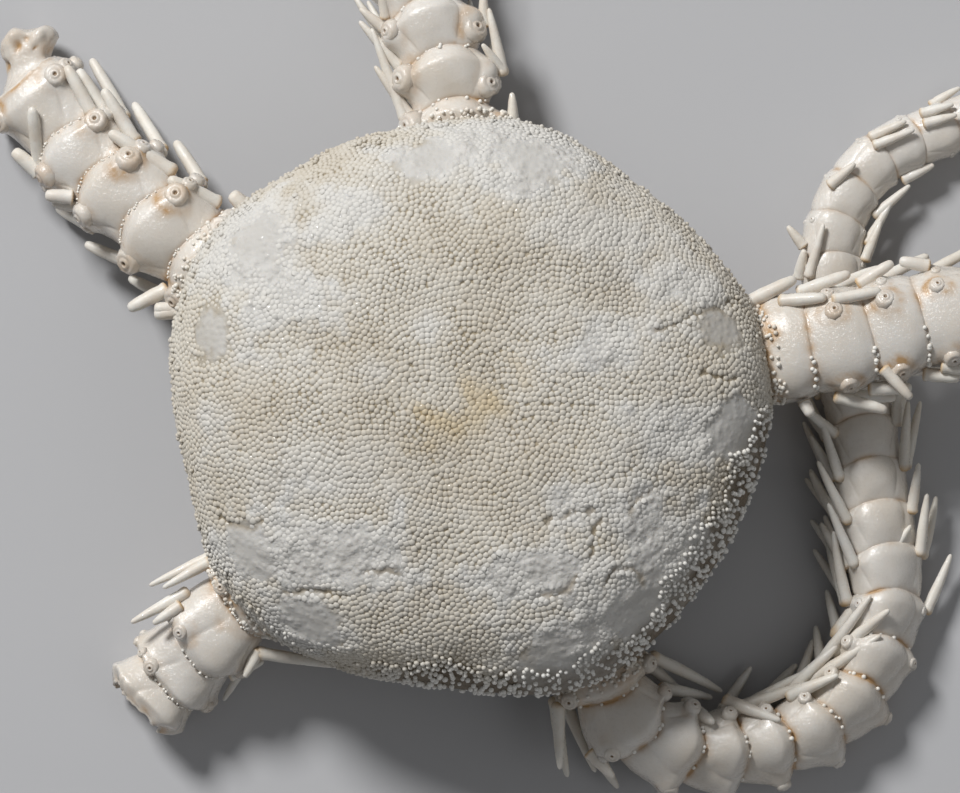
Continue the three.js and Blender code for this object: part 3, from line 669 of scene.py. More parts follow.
# Granules: cream, browner towards their feet, whitish where they are worn, a few of them glossy
def granuleMaterial(look):
    material, weave, shader = texturedMaterial("granuleFinish")
    between, times, noise, mix = weave.between, weave.times, weave.noise, weave.mix
    grain, worn, gold, crown, free = (weave.layer(key) for key in ("grain", "worn", "gold", "crown", "apart"))
    colour = mix(between(noise(look["beadPatchScale"], 3.0), 0.38, 0.62), look["bead"], look["beadPale"])
    colour = mix(times(grain, 0.3), colour, look["beadShade"])
    colour = mix(gold, colour, look["beadYellow"])
    # Feet take the skin's tan towards the base: the skin's colour, and painted shade in the crevices between
    # granules
    foot = times(between(crown, 0.55, 0.85, look["foot"], 0), between(worn, 0.0, 0.7, 1, 0))
    colour = mix(foot, colour, look["tan"])
    colour = mix(between(worn, 0.0, 0.85), colour, look["beadWorn"])
    # Free beads are made near white: their pale colour, with painted light
    colour = mix(between(free, 0.3, 1, 0, 0.9), colour, look["beadFree"])
    weave.fill(shader, {
        "Base Color": colour, "Roughness": between(grain, 0.955, 0.98, 0.6, look["sparkle"]),
        "Normal": weave.bump(noise(look["beadGrainScale"]), look["beadGrainDepth"], 0.5),
        "Specular IOR Level": 0.35})
    return material


plateFinish = chalkMaterial("plateFinish", plateLook)
spineFinish = chalkMaterial("spineFinish", spineLook)
beadFinish = chalkMaterial("beadFinish", beadLook)
mouthFinish = chalkMaterial("mouthFinish", mouthLook)
skinFinish = skinMaterial(discLook)
granuleFinish = granuleMaterial(discLook)
print("materials made")


# How far points lie from the middle of an ellipse on the disc, where 1 is its edge
def blob(points, x, y, long, wide, turn):
    angle = math.radians(turn)
    gone = points[..., :2] - np.array((x, y))
    along = gone[..., 0] * math.cos(angle) + gone[..., 1] * math.sin(angle)
    across = gone[..., 1] * math.cos(angle) - gone[..., 0] * math.sin(angle)
    return np.hypot(along / long, across / wide)


# 1 along the creases and 0 away from them
def creaseOver(points):
    nearest = np.full(points.shape[:-1], 9.0)
    bent = points[..., :2] + 0.05 * np.stack([waves(points, 0.7, 51), waves(points, 0.7, 52)], axis=-1)
    for crease in disc["creases"]:
        corners = [np.array(fromPhoto(place)) for place in crease]
        for start, end in zip(corners, corners[1:]):
            along = np.clip(((bent - start) @ (end - start)) / np.sum((end - start) ** 2), 0, 1)
            away = bent - start - along[..., None] * (end - start)
            nearest = np.minimum(nearest, np.linalg.norm(away, axis=-1))
    return bell(nearest, disc["creaseWide"])


# How worn the granules are, from 0 to 1, in patches with frayed edges
def wornOver(points):
    worn = np.clip(0.26 * smooth(points[..., 0], 0, 6) + 0.16 * waves(points, 2.4, 8)
                   + 0.08 * waves(points, 0.9, 9), 0, 0.6)
    frayed = 0.24 * waves(points, 2.2, 3) + 0.17 * waves(points, 0.95, 4) + 0.12 * waves(points, 0.45, 7)
    for *patch, strength in disc["worn"]:
        worn = np.maximum(worn, strength * (1 - smooth(blob(points, *patch) + frayed, 0.3, 1.55)))
    return worn


# 1 on the ten smooth shields, two over the root of each arm
def shieldOver(points, angle, polar):
    shield = np.zeros(polar.shape)
    frayed = 0.2 * waves(points, 1.3, 12) + 0.17 * waves(points, 0.5, 13) + 0.1 * waves(points, 0.25, 14)
    along = (polar - math.radians(disc["shieldTilt"])) * disc["shieldReach"]
    for arm in arms.values():
        for side in (-1, 1):
            towards = math.radians(arm["towards"] + side * disc["shieldSpread"])
            wide = wrapped(angle - towards) * np.hypot(points[..., 0], points[..., 1])
            away = np.hypot(along / (disc["shieldLong"] / 2), wide / (disc["shieldWide"] / 2))
            shield = np.maximum(shield, 1 - smooth(away + frayed, 0.4, 1.4))
    return shield


def makeDiscSkin():
    rings, around = disc["rings"], disc["around"]
    polar = (math.pi * (np.arange(1, rings + 1) - 0.5) / rings)[:, None] + np.zeros(around)
    angle = -2 * math.pi * np.arange(around)[None, :] / around + np.zeros((rings, 1))
    low, step = -disc["skinDepth"], 0.002
    plain = discPoint(angle, polar, low)
    normal = unit(np.cross(discPoint(angle, polar + step, low) - discPoint(angle, polar - step, low),
                           discPoint(angle + step, polar, low) - discPoint(angle - step, polar, low)))
    upper = smooth(-polar, -1.9, -1.2)
    worn = wornOver(plain) * upper
    shield = shieldOver(plain, angle, polar)
    crease = creaseOver(plain) * upper
    filled = smooth(worn, 0.0, 0.95)
    rise = 0.08 * waves(plain, 6.5, 1) + 0.035 * waves(plain, 2.6, 2)
    rise += disc["filled"] * filled * (1 - shield)
    crumbs = 0.026 * waves(plain, 0.75, 5) + 0.016 * np.abs(waves(plain, 0.42, 6)) - 0.008
    rise += crumbs * smooth(worn, 0.2, 0.8) * (1 - 0.75 * shield)
    rise += disc["shieldRise"] * smooth(shield, 0.0, 0.9) - disc["creaseDeep"] * crease
    points = plain + normal * rise[..., None]
    points[..., 2] = np.maximum(points[..., 2], disc["floorGap"])

    # What the granules go by: where they are gold, how many, how large and how high they stand
    (*patch, strength), (*dot, dotStrength) = disc["gold"]
    gold = strength * (1 - smooth(blob(plain, *patch) + 0.55 * waves(plain, 0.8, 21), 0.1, 1.3)) * upper
    gold = np.maximum(gold, dotStrength * (1 - smooth(blob(plain, *dot), 0.4, 1.2)))
    under = smooth(polar, 1.75, 2.1)
    cover = (1 - smooth(shield, 0.45, 0.9)) * (1 - smooth(polar, 2.55, 2.75)) * (1 - smooth(crease, 0.4, 0.8))
    degrees = np.degrees(angle) % 360
    # lowerRight is the rim's side away from the lamps: its granules stand apart as beads over dark skin,
    # darkened further as painted shade
    lowerRight = smooth(degrees, 240, 262) * (1 - smooth(degrees, 356, 362))
    rim = smooth(polar + 0.12 * lowerRight + 0.05 * waves(plain, 1.5, 33), 0.98, 1.4) * (1 - 0.6 * under)
    free = rim * (0.27 + 0.73 * lowerRight)             # where granules stand apart, as beads
    size = (1 - 0.10 * filled) * (1 - 0.1 * rim) * (1 - 0.1 * under) * (1 + 0.07 * waves(plain, 2.0, 31))
    sunk = 0.015 + 0.012 * waves(plain, 1.4, 40) + 0.007 * waves(plain, 0.5, 41)
    stand = 0.012 * rim - (sunk * filled + 0.018 * smooth(worn, 0.72, 1)) * (1 - 0.5 * rim)
    stand = stand - 0.095 * smooth(shield, 0.05, 0.65)

    values = {"worn": filled, "shield": shield, "gold": gold, "cover": cover, "size": size, "stand": stand,
              "free": free, "stain": 0.9 * crease}
    values = {key: np.append(value.ravel(), [value[0].mean(), value[-1].mean()])
              for key, value in values.items()}
    unwrap = 0.5 + 0.5 * (polar / math.pi)[..., None] * np.stack([np.cos(angle), np.sin(angle)], axis=-1)
    pointUv = np.vstack([unwrap.reshape(-1, 2), [0.5, 0.5], [0.5, 1.0]])
    values["rootUv"] = np.column_stack([pointUv, np.zeros(len(pointUv))])
    faces = ringFaces(rings, around)
    allPoints = np.vstack([points.reshape(-1, 3), points[0].mean(axis=0), points[-1].mean(axis=0)])
    return makeObject("discSkin", allPoints, faces, values, pointUv[np.concatenate(faces)], skinFinish)


discSkin = makeDiscSkin()
print("disc skin made")


# A shape turned on a lathe round Z and closed at both ends, from pairs of distance from the middle
# line and height. Its patch is its own unwrap, about one across, and pitFrom says from which ring on
# it is stained as a pit.
def turnedShape(name, profile, sides, pitFrom=99, uneven=0):
    angle = 2 * math.pi * np.arange(sides) / sides
    rings = []
    for reach, height in profile[1:-1]:
        lumps = np.sin(2 * angle + 1) + 0.7 * np.sin(5 * angle + 3 * height)
        wide = reach * (1 + uneven * np.clip(0.25 - height, 0, 1) * lumps)
        rings.append(np.column_stack([wide * np.sin(angle), wide * np.cos(angle), np.full(sides, height)]))
    points = np.vstack(rings + [[0, 0, profile[0][1]], [0, 0, profile[-1][1]]])
    heights = points[:, 2]
    share = (heights - heights.min()) / (heights.max() - heights.min())
    angle = np.arctan2(points[:, 0], points[:, 1])
    wide = 0.5 * (1.05 - share)
    patch = np.column_stack([wide * np.cos(angle), wide * np.sin(angle), 0 * share])
    inPit = [ring >= pitFrom for ring in range(1, len(profile))]
    pit = np.append(np.repeat(inPit[:-1], sides), [0, inPit[-1]])
    return makeObject(name, points / mm - discMiddle, ringFaces(len(rings), sides),
                      {"patchUv": patch, "crown": share, "pit": pit})


spineShapes = {
    "stout": turnedShape("stoutSpine", [
        (0, -0.03), (0.34, -0.02), (0.50, 0.02), (0.51, 0.06), (0.45, 0.14), (0.48, 0.34), (0.44, 0.55),
        (0.42, 0.75),
        (0.33, 0.93), (0.2, 0.985), (0, 1.0)], 8),
    "slender": turnedShape("slenderSpine", [
        (0, -0.03), (0.34, -0.02), (0.50, 0.02), (0.51, 0.06), (0.45, 0.13), (0.46, 0.3), (0.39, 0.52),
        (0.32, 0.74),
        (0.20, 0.95), (0.12, 0.985), (0, 1.0)], 8),
}
socketShape = turnedShape("socketShape", [
    (0, -1.3), (1.27, -1.1), (1.17, -0.26), (0.99, 0.03), (0.8, 0.17), (0.64, 0.11), (0.48, 0.19),
    (0.37, 0.31),
    (0.24, 0.27), (0.15, 0.08), (0, 0.05)], 10, 9, 0.07)
granuleShape = turnedShape("granuleShape", [(0, -0.6), (1.12, -0.35), (0.9, 0.42), (0.5, 0.87), (0, 1.0)], 6)
beadShape = turnedShape("beadShape", [(0, -1.0), (0.72, -0.7), (1.0, 0.0), (0.72, 0.7), (0, 1.0)], 7)


# A tree of Geometry Nodes with named inputs besides its geometry, its weave, and where it starts and ends
def newTree(name, sockets):
    tree = bpy.data.node_groups.new(name, "GeometryNodeTree")
    tree.is_modifier = True
    for label, kind in [("Geometry", "NodeSocketGeometry"), *sockets]:
        tree.interface.new_socket(label, in_out="INPUT", socket_type=kind)
    tree.interface.new_socket("Geometry", in_out="OUTPUT", socket_type="NodeSocketGeometry")
    weave = Weave(tree)
    return tree, weave, weave.add("NodeGroupInput", {}).outputs, weave.add("NodeGroupOutput", {})


def attributeIn(weave, name, kind="FLOAT_VECTOR"):
    return weave.add("GeometryNodeInputNamedAttribute", {"Name": name}, data_type=kind).outputs["Attribute"]


# Stands one shape on every point, along its aim and at its own scale, bends it towards its tip,
# writes its patch of the unwrap, smooths it and gives it its finish
def makeStandingTree():
    tree, weave, entry, out = newTree("standingShapes", [
        ("Shape", "NodeSocketObject"), ("Patch", "NodeSocketFloat"), ("Material", "NodeSocketMaterial")])
    shape = weave.add("GeometryNodeObjectInfo", {"Object": entry["Shape"]}, transform_space="ORIGINAL")
    turn = weave.add("FunctionNodeAlignRotationToVector", {"Vector": attributeIn(weave, "aim")}, axis="Z")
    stand = weave.add("GeometryNodeInstanceOnPoints", {
        "Points": entry["Geometry"], "Instance": shape.outputs["Geometry"],
        "Rotation": turn.outputs["Rotation"],
        "Scale": attributeIn(weave, "scale3")})
    realize = weave.add("GeometryNodeRealizeInstances", {"Geometry": stand.outputs["Instances"]})
    crown = weave.add("ShaderNodeMath", {0: attributeIn(weave, "crown", "FLOAT"), 1: 2.0}, operation="POWER")
    sway = weave.add("ShaderNodeVectorMath", {0: attributeIn(weave, "bend"), "Scale": crown.outputs[0]},
                     operation="SCALE")
    bent = weave.add("GeometryNodeSetPosition", {
        "Geometry": realize.outputs["Geometry"], "Offset": sway.outputs[0]})
    patch = weave.add("ShaderNodeVectorMath", {0: attributeIn(weave, "patchUv"), "Scale": entry["Patch"]},
                      operation="SCALE")
    rootUv = attributeIn(weave, "rootUv")
    place = weave.add("ShaderNodeVectorMath", {0: patch.outputs[0], 1: rootUv}, operation="ADD")
    store = weave.add("GeometryNodeStoreNamedAttribute", {
        "Geometry": bent.outputs["Geometry"], "Name": "OFBake", "Value": place.outputs[0]},
        data_type="FLOAT2", domain="CORNER")
    soft = weave.add("GeometryNodeSetShadeSmooth", {"Geometry": store.outputs["Geometry"]})
    paint = weave.add("GeometryNodeSetMaterial", {"Geometry": soft.outputs["Geometry"],
                                                  "Material": entry["Material"]})
    weave.fill(out, {"Geometry": paint.outputs["Geometry"]})
    return tree


# Scatters seats over the skin, close but apart, as points that carry its attributes
def makeSeatTree():
    tree, weave, entry, out = newTree("granuleSeats", [
        ("Spacing", "NodeSocketFloat"), ("Density", "NodeSocketFloat"), ("Seed", "NodeSocketInt")])
    scatter = weave.add("GeometryNodeDistributePointsOnFaces", {
        "Mesh": entry["Geometry"], "Distance Min": entry["Spacing"], "Density Max": entry["Density"],
        "Density Factor": attributeIn(weave, "cover", "FLOAT"), "Seed": entry["Seed"]},
        distribute_method="POISSON")
    seats = weave.add("GeometryNodePointsToVertices", {"Points": scatter.outputs["Points"]})
    weave.fill(out, {"Geometry": seats.outputs["Mesh"]})
    return tree


standingTree = makeStandingTree()
seatTree = makeSeatTree()

# Attributes that a tree reads and that its result has no more use for
onlyForTrees = ("aim", "scale3", "bend", "patchUv", "rootUv", "cover", "size", "stand", "shield", "free")


# Runs a tree on a bed of points or faces and keeps its result as a plain mesh
def grown(name, bed, tree, settings, keep=()):
    modifier = bed.modifiers.new("grow", "NODES")
    modifier.node_group = tree
    identifiers = {item.name: item.identifier for item in tree.interface.items_tree if item.in_out == "INPUT"}
    for label, value in settings.items():
        modifier[identifiers[label]] = value
    graph = bpy.context.evaluated_depsgraph_get()
    grownBed = bed.evaluated_get(graph)
    mesh = bpy.data.meshes.new_from_object(grownBed, preserve_all_data_layers=True, depsgraph=graph)
    bed.modifiers.remove(modifier)
    mesh.name = name
    for layer in set(onlyForTrees).difference(keep).intersection(mesh.attributes.keys()):
        mesh.attributes.remove(mesh.attributes[layer])
    print(name, len(mesh.polygons), "faces")
    return newObject(name, mesh)


# Stands a shape on a bed of points that is then done with
def standOn(name, points, values, shape, patch, finish):
    bed = makeObject(name + "Bed", points, [], values)
    thing = grown(name, bed, standingTree, {"Shape": shape, "Patch": patch, "Material": finish})
    bpy.data.objects.remove(bed)
    return thing


granules = {
    "spacing": 0.156, "density": 640.0, "width": 0.125, "height": 0.067, "flat": 0.45, "patch": 0.003,
    "seed": 5,
    "pieces": 5, "turns": 6, "near": 0.27, "apart": 0.197, "push": 0.3, "farthest": 0.055,
    "beadWide": 0.098, "beadTall": 0.105, "beadStand": 0.05, "beadApart": 1.05,
}


def readLayer(mesh, name, wide=1):
    values = np.empty(len(mesh.vertices) * wide)
    mesh.attributes[name].data.foreach_get("vector" if wide == 3 else "value", values)
    return values.reshape(-1, 3) if wide == 3 else values


# Evens out scattered seats: near ones push each other apart, and each stays on the skin and near its
# first place
def evenOut(seats, free):
    skin = BVHTree.FromPolygons([tuple(corner.co) for corner in discSkin.data.vertices],
                                [tuple(face.vertices) for face in discSkin.data.polygons])
    places, first = seats.copy(), seats.copy()
    want = granules["apart"] * mm * (1 + granules["beadApart"] * free)
    most = granules["farthest"] * mm * (1 + free)[:, None]
    for turn in range(granules["turns"]):
        if turn % 3 == 0:
            finder = KDTree(len(places))
            for index, place in enumerate(places):
                finder.insert(place, index)
            finder.balance()
            near = granules["near"] * mm
            pairs = np.array([(index, other) for index, place in enumerate(places)
                              for _, other, _ in finder.find_range(place, near) if other > index])
            one, two = pairs.T
        gap = places[one] - places[two]
        length = np.maximum(np.linalg.norm(gap, axis=1), 1e-9)
        need = 0.5 * (want[one] + want[two])
        push = gap * (np.maximum(need - length, 0) / length * granules["push"])[:, None]
        np.add.at(places, one, push)
        np.add.at(places, two, -push)
        moved = places - first
        far = np.linalg.norm(moved, axis=1, keepdims=True)
        places = first + moved * np.minimum(1, most / np.maximum(far, 1e-9))
        if turn % 3 == 2:
            places = np.array([skin.find_nearest(place)[0] for place in places])
    found = [skin.find_nearest(place) for place in places]
    return np.array([hit[0] for hit in found]), np.array([hit[1] for hit in found])


# Contiguous low granules, which stand free as beads towards the rim and sink into the skin where it is worn
def makeGranules():
    bed = grown("seats", discSkin, seatTree, {
        "Spacing": granules["spacing"] * mm, "Density": granules["density"] / mm ** 2,
        "Seed": granules["seed"]},
        ("cover", "size", "stand", "free", "rootUv"))
    seats = np.empty(len(bed.data.vertices) * 3)
    bed.data.vertices.foreach_get("co", seats)
    keys = ("size", "stand", "free", "worn", "gold")
    size, stand, free, worn, gold = (readLayer(bed.data, key) for key in keys)
    rootUv = readLayer(bed.data, "rootUv", 3)
    places, normals = evenOut(seats.reshape(-1, 3), free)
    draw = np.random.default_rng(granules["seed"])
    grain = draw.uniform(0, 1, len(places))
    isBead = draw.uniform(0.2, 0.6, len(places)) < free
    steep = smooth(-normals[:, 2], -0.6, -0.1)
    keep = draw.uniform(0, 1, len(places)) > (0.38 + 0.5 * steep) * smooth(free, 0.4, 0.9) * isBead
    size = size * (0.86 + 0.28 * draw.uniform(0, 1, len(places)))
    wide = np.where(isBead, granules["beadWide"], granules["width"]) * size
    tall = np.where(isBead, granules["beadTall"], granules["height"]) * size
    tall = tall * draw.uniform(0.8, 1.15, len(places))
    tall = tall * (1 - granules["flat"] * worn * ~isBead)
    stand = np.where(isBead, granules["beadStand"] - 0.4 * granules["height"] * worn, stand)
    base = places / mm - discMiddle + normals * stand[:, None]
    values = {"aim": unit(normals + draw.normal(0, 0.08, normals.shape)), "bend": 0 * normals,
              "scale3": np.stack([wide, wide, tall], axis=-1) * mm, "rootUv": rootUv, "grain": grain,
              "worn": worn,
              "gold": gold, "apart": free * isBead}
    order = np.argsort(base[:, 0])
    parts = [(f"granules{k + 1}", part, granuleShape)
             for k, part in enumerate(np.array_split(order[~isBead[order]], granules["pieces"]))]
    parts.append(("rim_beads", order[(isBead & keep)[order]], beadShape))
    pieces = [standOn(name, base[part], {key: value[part] for key, value in values.items()}, shape,
                      granules["patch"], granuleFinish) for name, part, shape in parts]
    bpy.data.objects.remove(bed)
    return pieces


granulePieces = makeGranules()
print("granules made")


# Where the skin of an arm has its rings, as shares of a joint, and its columns, as shares of the
# back's half plate, of the flank and of the belly. They are close where the relief is steep.
armMesh = {
    "rings": (0.012, 0.03, 0.06, 0.1, 0.15, 0.21, 0.28, 0.36, 0.44, 0.52, 0.6, 0.67, 0.725, 0.77, 0.81,
              0.845, 0.88,
              0.91, 0.94, 0.965, 0.985, 1.0),
    "back": (0, 0.2, 0.38, 0.54, 0.68, 0.8, 0.89, 0.96),
    "flank": (0, 0.025, 0.06, 0.105, 0.155, 0.21, 0.265, 0.32, 0.375, 0.43, 0.485, 0.54, 0.595, 0.65,
              0.71, 0.77,
              0.84, 0.92, 0.97),
    "belly": (0, 0.06, 0.16, 0.34, 0.58, 0.82),
    "fineOver": 1.7,        # width of the arm over which all rings are made, and below which every other one
    "lowest": 0.02,
}


# Angles of the columns in each ring: they follow the edges of the plates
def columnAngles(arm, at):
    index, _, share = jointAt(arm, at, -1e-6)
    edge, belly = plateEdge(arm, index, share), bellyEdge(share)
    back, flank, under = (np.array(armMesh[key]) for key in ("back", "flank", "belly"))
    right = np.concatenate([edge * back, edge + (belly - edge) * flank, belly + (math.pi - belly) * under],
                           axis=1)
    angles = np.concatenate([right, np.full_like(right[:, :1], math.pi), -right[:, :0:-1]], axis=1)
    return angles + turnAt(arm, at)


# How far the edge of a broken end runs out and in, round the arm
def tornEdge(arm, around):
    circle = np.stack([2.2 * np.cos(around), 2.2 * np.sin(around), 0 * around], axis=-1)
    return arm["torn"] * (0.16 * waves(circle, 1.7, arm["seed"]) + 0.10 * waves(circle, 0.6, arm["seed"] + 3))


# The worn core of a joint in a broken arm: pits at share of its length, place across from -1 to 1, and size
stub = {
    "tall": 0.76, "lobes": 0.24, "lean": 0.10,
    "pits": [(0.69, -0.42, 0.17), (0.84, -0.06, 0.10), (0.47, -0.85, 0.15), (0.60, 0.25, 0.08)],
    # rings of the plates' edge: how far inside and out
    "rim": [(0.985, 0.05), (0.95, 0.085), (0.90, 0.09)],
    "rings": [*np.linspace(0.04, 0.86, 17), 0.9, 0.93, 0.96, 0.98, 0.99, 1.0],
}


# What a broken arm shows: the thick, rounded edge of its plates and, out of them, the core of a joint.
# Gives the rings out to its tip, each with its tone and its stain, which on one side is painted shade.
def brokenEnd(arm, around, edge):
    place, ahead, side, back = (part[0] for part in framesAt(arm, np.array([arm["reach"]])))
    for inside, out in stub["rim"]:
        rim = place + (edge - place) * inside + ahead * out
        yield rim, 0.1, np.full(len(around), 0.12)
    tip = np.array([*fromPhoto(arm["stubTip"]), place[2]])
    towards = math.radians(arm["stubTowards"])
    tipAhead = np.array([math.cos(towards), math.sin(towards), 0])
    tipSide = np.array([math.sin(towards), -math.cos(towards), 0])
    core = place - ahead * 0.1
    climb = np.cos(around)
    for share in stub["rings"]:
        wide = float(ramp(arm["stubWide"], share))
        middle = core * (1 - share) + tip * share
        across = wide * squared(np.sin(around), 0.9)
        tall = stub["tall"] * wide * (1 - 0.22 * bell(across + 0.12, 0.26) * smooth(share, 0.4, 0.85))
        lobes = stub["lobes"] * (bell(np.abs(across) - 0.56, 0.42) - 0.5) + stub["lean"] * across
        ring = middle + unit(side * (1 - share) + tipSide * share) * across[:, None]
        ring = ring + back * (tall * climb)[:, None]
        ring = ring + tipAhead * (lobes * smooth(share, 0.45, 0.95))[:, None]
        ring = rim + (ring - rim) * smooth(share, -0.02, 0.36)
        rough = 0.03 * waves(ring, 0.8, arm["seed"] + 5) + 0.025 * waves(ring, 0.35, arm["seed"] + 6)
        rough = rough * smooth(share, 0, 0.3)
        # Light brown all over, and darker on one side halfway up, where the brown is painted shade
        stain = 0.2 + 0.5 * bell(share - 0.5, 0.14) * smooth(across, 0.2, 0.8)
        for pitShare, pitPlace, pitSize in stub["pits"]:
            off = np.hypot((share - pitShare) * np.linalg.norm(tip - core), across - pitPlace)
            deep = bell(off, pitSize) * (climb > 0)
            rough = rough - 1.2 * pitSize * deep
            stain = np.maximum(stain, 1.3 * deep)
        yield ring + unit(ring - middle) * rough[:, None], 0.15, stain


# A whole arm ends in a small rounded tip
def wholeEnd(arm, around):
    for inside, out in ((0.86, 0.08), (0.6, 0.16), (0.3, 0.21)):
        ring = armPoint(arm, np.full(around.shape, arm["reach"] + out), around, np.full(around.shape, inside))
        yield ring, 0.2, np.full(len(around), 0.1), arm["reach"] + out


def makeArmSkin(name, arm):
    joints, reach, seed = arm["joints"], arm["reach"], arm["seed"]
    at = [0.02]
    for start, end in zip(joints, joints[1:]):
        shares = armMesh["rings"] if widthAt(arm, start) > armMesh["fineOver"] else armMesh["rings"][1::2]
        at += [start + share * (end - start) for share in shares]
    at = np.array(at)[:, None]
    around = columnAngles(arm, at)
    bowed = at + bowAt(arm, at, around)
    points, stain = armSkinPoint(arm, bowed, around)
    uneven = 0.018 * waves(points, 1.3, seed) + 0.008 * waves(points, 0.5, seed + 1)
    middle, ahead, _, _ = (part[:, None, :] for part in framesAt(arm, at[:, 0]))
    uneven = uneven * np.clip(0.5 * widthAt(arm, at) / 1.5, 0.3, 1)
    points = points + unit(points - middle) * uneven[..., None]

    # Each plate has a tone of its own: 0 on the back, 1 and 2 on the two sides
    index, _, share = jointAt(arm, at, -1e-6)
    onBack = np.abs(fromBack(arm, at, around)) < plateEdge(arm, index, share)
    tones = np.random.default_rng(seed + 2).uniform(0, 0.6, (len(joints), 3))
    tone = tones[index, np.where(onBack, 0, np.where(around > 0, 1, 2))]
    stain = stain * (0.45 + 0.75 * smooth(waves(points, 1.5, seed + 3), -0.5, 1.0))
    # A dark brown band at the root by the disc: painted shade from the disc, partly stain
    atRoot = 1 - smooth(bowed + 0.25 * waves(points, 0.8, seed + 4), arm["rootTo"], 2.5)
    stain = np.maximum(stain, arm["rootStainAndShade"] * atRoot)

    along = list(at[:, 0])
    if arm["brokenAt"]:
        fade = smooth(at[:, 0], reach - 0.9, reach)[:, None]
        points = points + ahead * (fade * tornEdge(arm, around[-1])[None, :])[..., None]
        ending = [(*ring, reach + 0.05 + (len(along) + k) * 1e-4)
                  for k, ring in enumerate(brokenEnd(arm, around[-1], points[-1]))]
    else:
        ending = list(wholeEnd(arm, around[-1]))
    points = np.concatenate([points, [ring[0] for ring in ending]])
    tone = np.vstack([tone, [np.full(len(around[-1]), ring[1]) for ring in ending]])
    stain = np.vstack([stain, [ring[2] for ring in ending]])
    along += [ring[3] for ring in ending]

    points[..., 2] = np.maximum(points[..., 2], armMesh["lowest"] + 0.03 * smooth(points[..., 2], -0.4, 0.1))
    allPoints = np.vstack([points.reshape(-1, 3), points[0].mean(axis=0), points[-1].mean(axis=0)])
    values = {key: np.append(value.ravel(), [0.3, 0.2]) for key, value in (("tone", tone), ("stain", stain))}
    faces = ringFaces(*points.shape[:2])
    cornerUv = ringUv(np.array(along) / (arm["full"] + 2), points.shape[1], 0.02, 0.98)
    print(name, len(faces), "faces")
    return makeObject(f"{name}_skin", allPoints, faces, values, cornerUv, plateFinish)


armSkins = {name: makeArmSkin(name, arm) for name, arm in arms.items()}
print("arm skins made")


# gone are the shares of spines that are missing by row, near the disc and further out
spines = {
    "least": 0.45, "byWidth": 0.66, "thickLeast": 0.19, "thickByWidth": 0.085, "lean": 15, "leanStep": 7,
    "leanMost": 64, "low": 0.24, "besides": 0.12, "patch": 0.003, "socket": 0.37,
    "nearTo": 16, "goneNear": (0.55, 0.2, 0.05, 0.05), "goneFar": (0.12, 0.05, 0.05, 0.05),
}


def unwrapAt(arm, at, around):
    turned = (around - turnAt(arm, at)) / (2 * math.pi) % 1
    return (0.02 + 0.96 * at / (arm["full"] + 2), float(turned), 0)


# A place on the skin of an arm, with the ways out of it and along the arm
def outwardsAt(arm, at, around):
    points, _ = armSkinPoint(arm, np.array([[at], [at]]), np.array([[around - 0.03], [around + 0.03]]))
    middle, ahead, _, _ = framesAt(arm, np.array([at]))
    here, _ = armSkinPoint(arm, np.array([[at]]), np.array([[around]]))
    out = unit(np.cross(unit(points[1, 0] - points[0, 0]), ahead[0]))
    if out @ (here[0, 0] - middle[0]) < 0:
        out = -out
    return here[0, 0], out, ahead[0]


# True where a spine keeps off the disc, the floor and all stretches of arm but the one that it stands on
def isClear(arm, at, points, thick):
    if (points[:, 2] < spines["low"]).any():
        return False
    undercut = 0.6 * smooth(np.abs(points[:, 2] - disc["waist"]), 1.5, 3.5)
    if (pastDisc(points) < thick / 2 - undercut)[1:].any():
        return False
    for other in arms.values():
        gap = np.linalg.norm(points[1:, None, :] - other["core"][None], axis=-1)
        gap = gap - other["coreHalf"] * 0.97 - thick / 2
        if other is arm:
            gap = gap[:, np.abs(other["coreAt"] - at) > 0.9]
        if gap.size and gap.min() < 0.05:
            return False
    return True


# Where a place in the photograph lies on the arm: along it and across
def landOn(arm, x, y):
    gone = np.linalg.norm(arm["line"] - np.array([x, y]), axis=1)
    order = int(np.argmin(np.where(arm["away"] <= arm["reach"], gone, 99)))
    ahead, gone = arm["ahead"][order], np.array([x, y]) - arm["line"][order]
    return float(arm["away"][order]), float(gone[0] * ahead[1] - gone[1] * ahead[0])


# The angle round the arm that is seen from above at a place across it
def angleOver(arm, at, across):
    share = max(-0.98, min(0.98, across / (0.5 * float(widthAt(arm, at)))))
    return math.asin(share) - float(np.radians(ramp(arm["roll"], at)))


def spineThick(arm, at):
    return (spines["thickLeast"] + spines["thickByWidth"] * float(widthAt(arm, at))) * arm["stout"]


# A spine that leans towards the arm's tip as far as it must to keep clear, or None where it can't
def leaningSpine(arm, knob, here, out, ahead, length, lean, sideways, bow, tone):
    thick = spineThick(arm, knob["at"])
    for step in range(9):
        degrees = spines["lean"] + lean + 3 * (knob["row"] % 2) + spines["leanStep"] * step
        angle = math.radians(degrees)
        if angle > math.radians(spines["leanMost"]):
            return None
        aim = unit(ahead * math.cos(angle) + out * math.sin(angle) + np.cross(ahead, out) * sideways)
        base = here - aim * 0.05
        lowest = spines["low"] + thick / 2
        if base[2] + aim[2] * length < lowest:
            aim = unit(np.array([aim[0], aim[1], (lowest + 0.02 - base[2]) / length]))
        line = base + aim * np.linspace(0.25, 1, 6)[:, None] * length
        if isClear(arm, knob["at"], line, thick):
            return {"at": knob["at"], "around": knob["around"], "base": base, "aim": aim, "thick": thick,
                    "length": length, "bend": -out * bow * length, "tone": tone, "stain": 0.15}
    return None


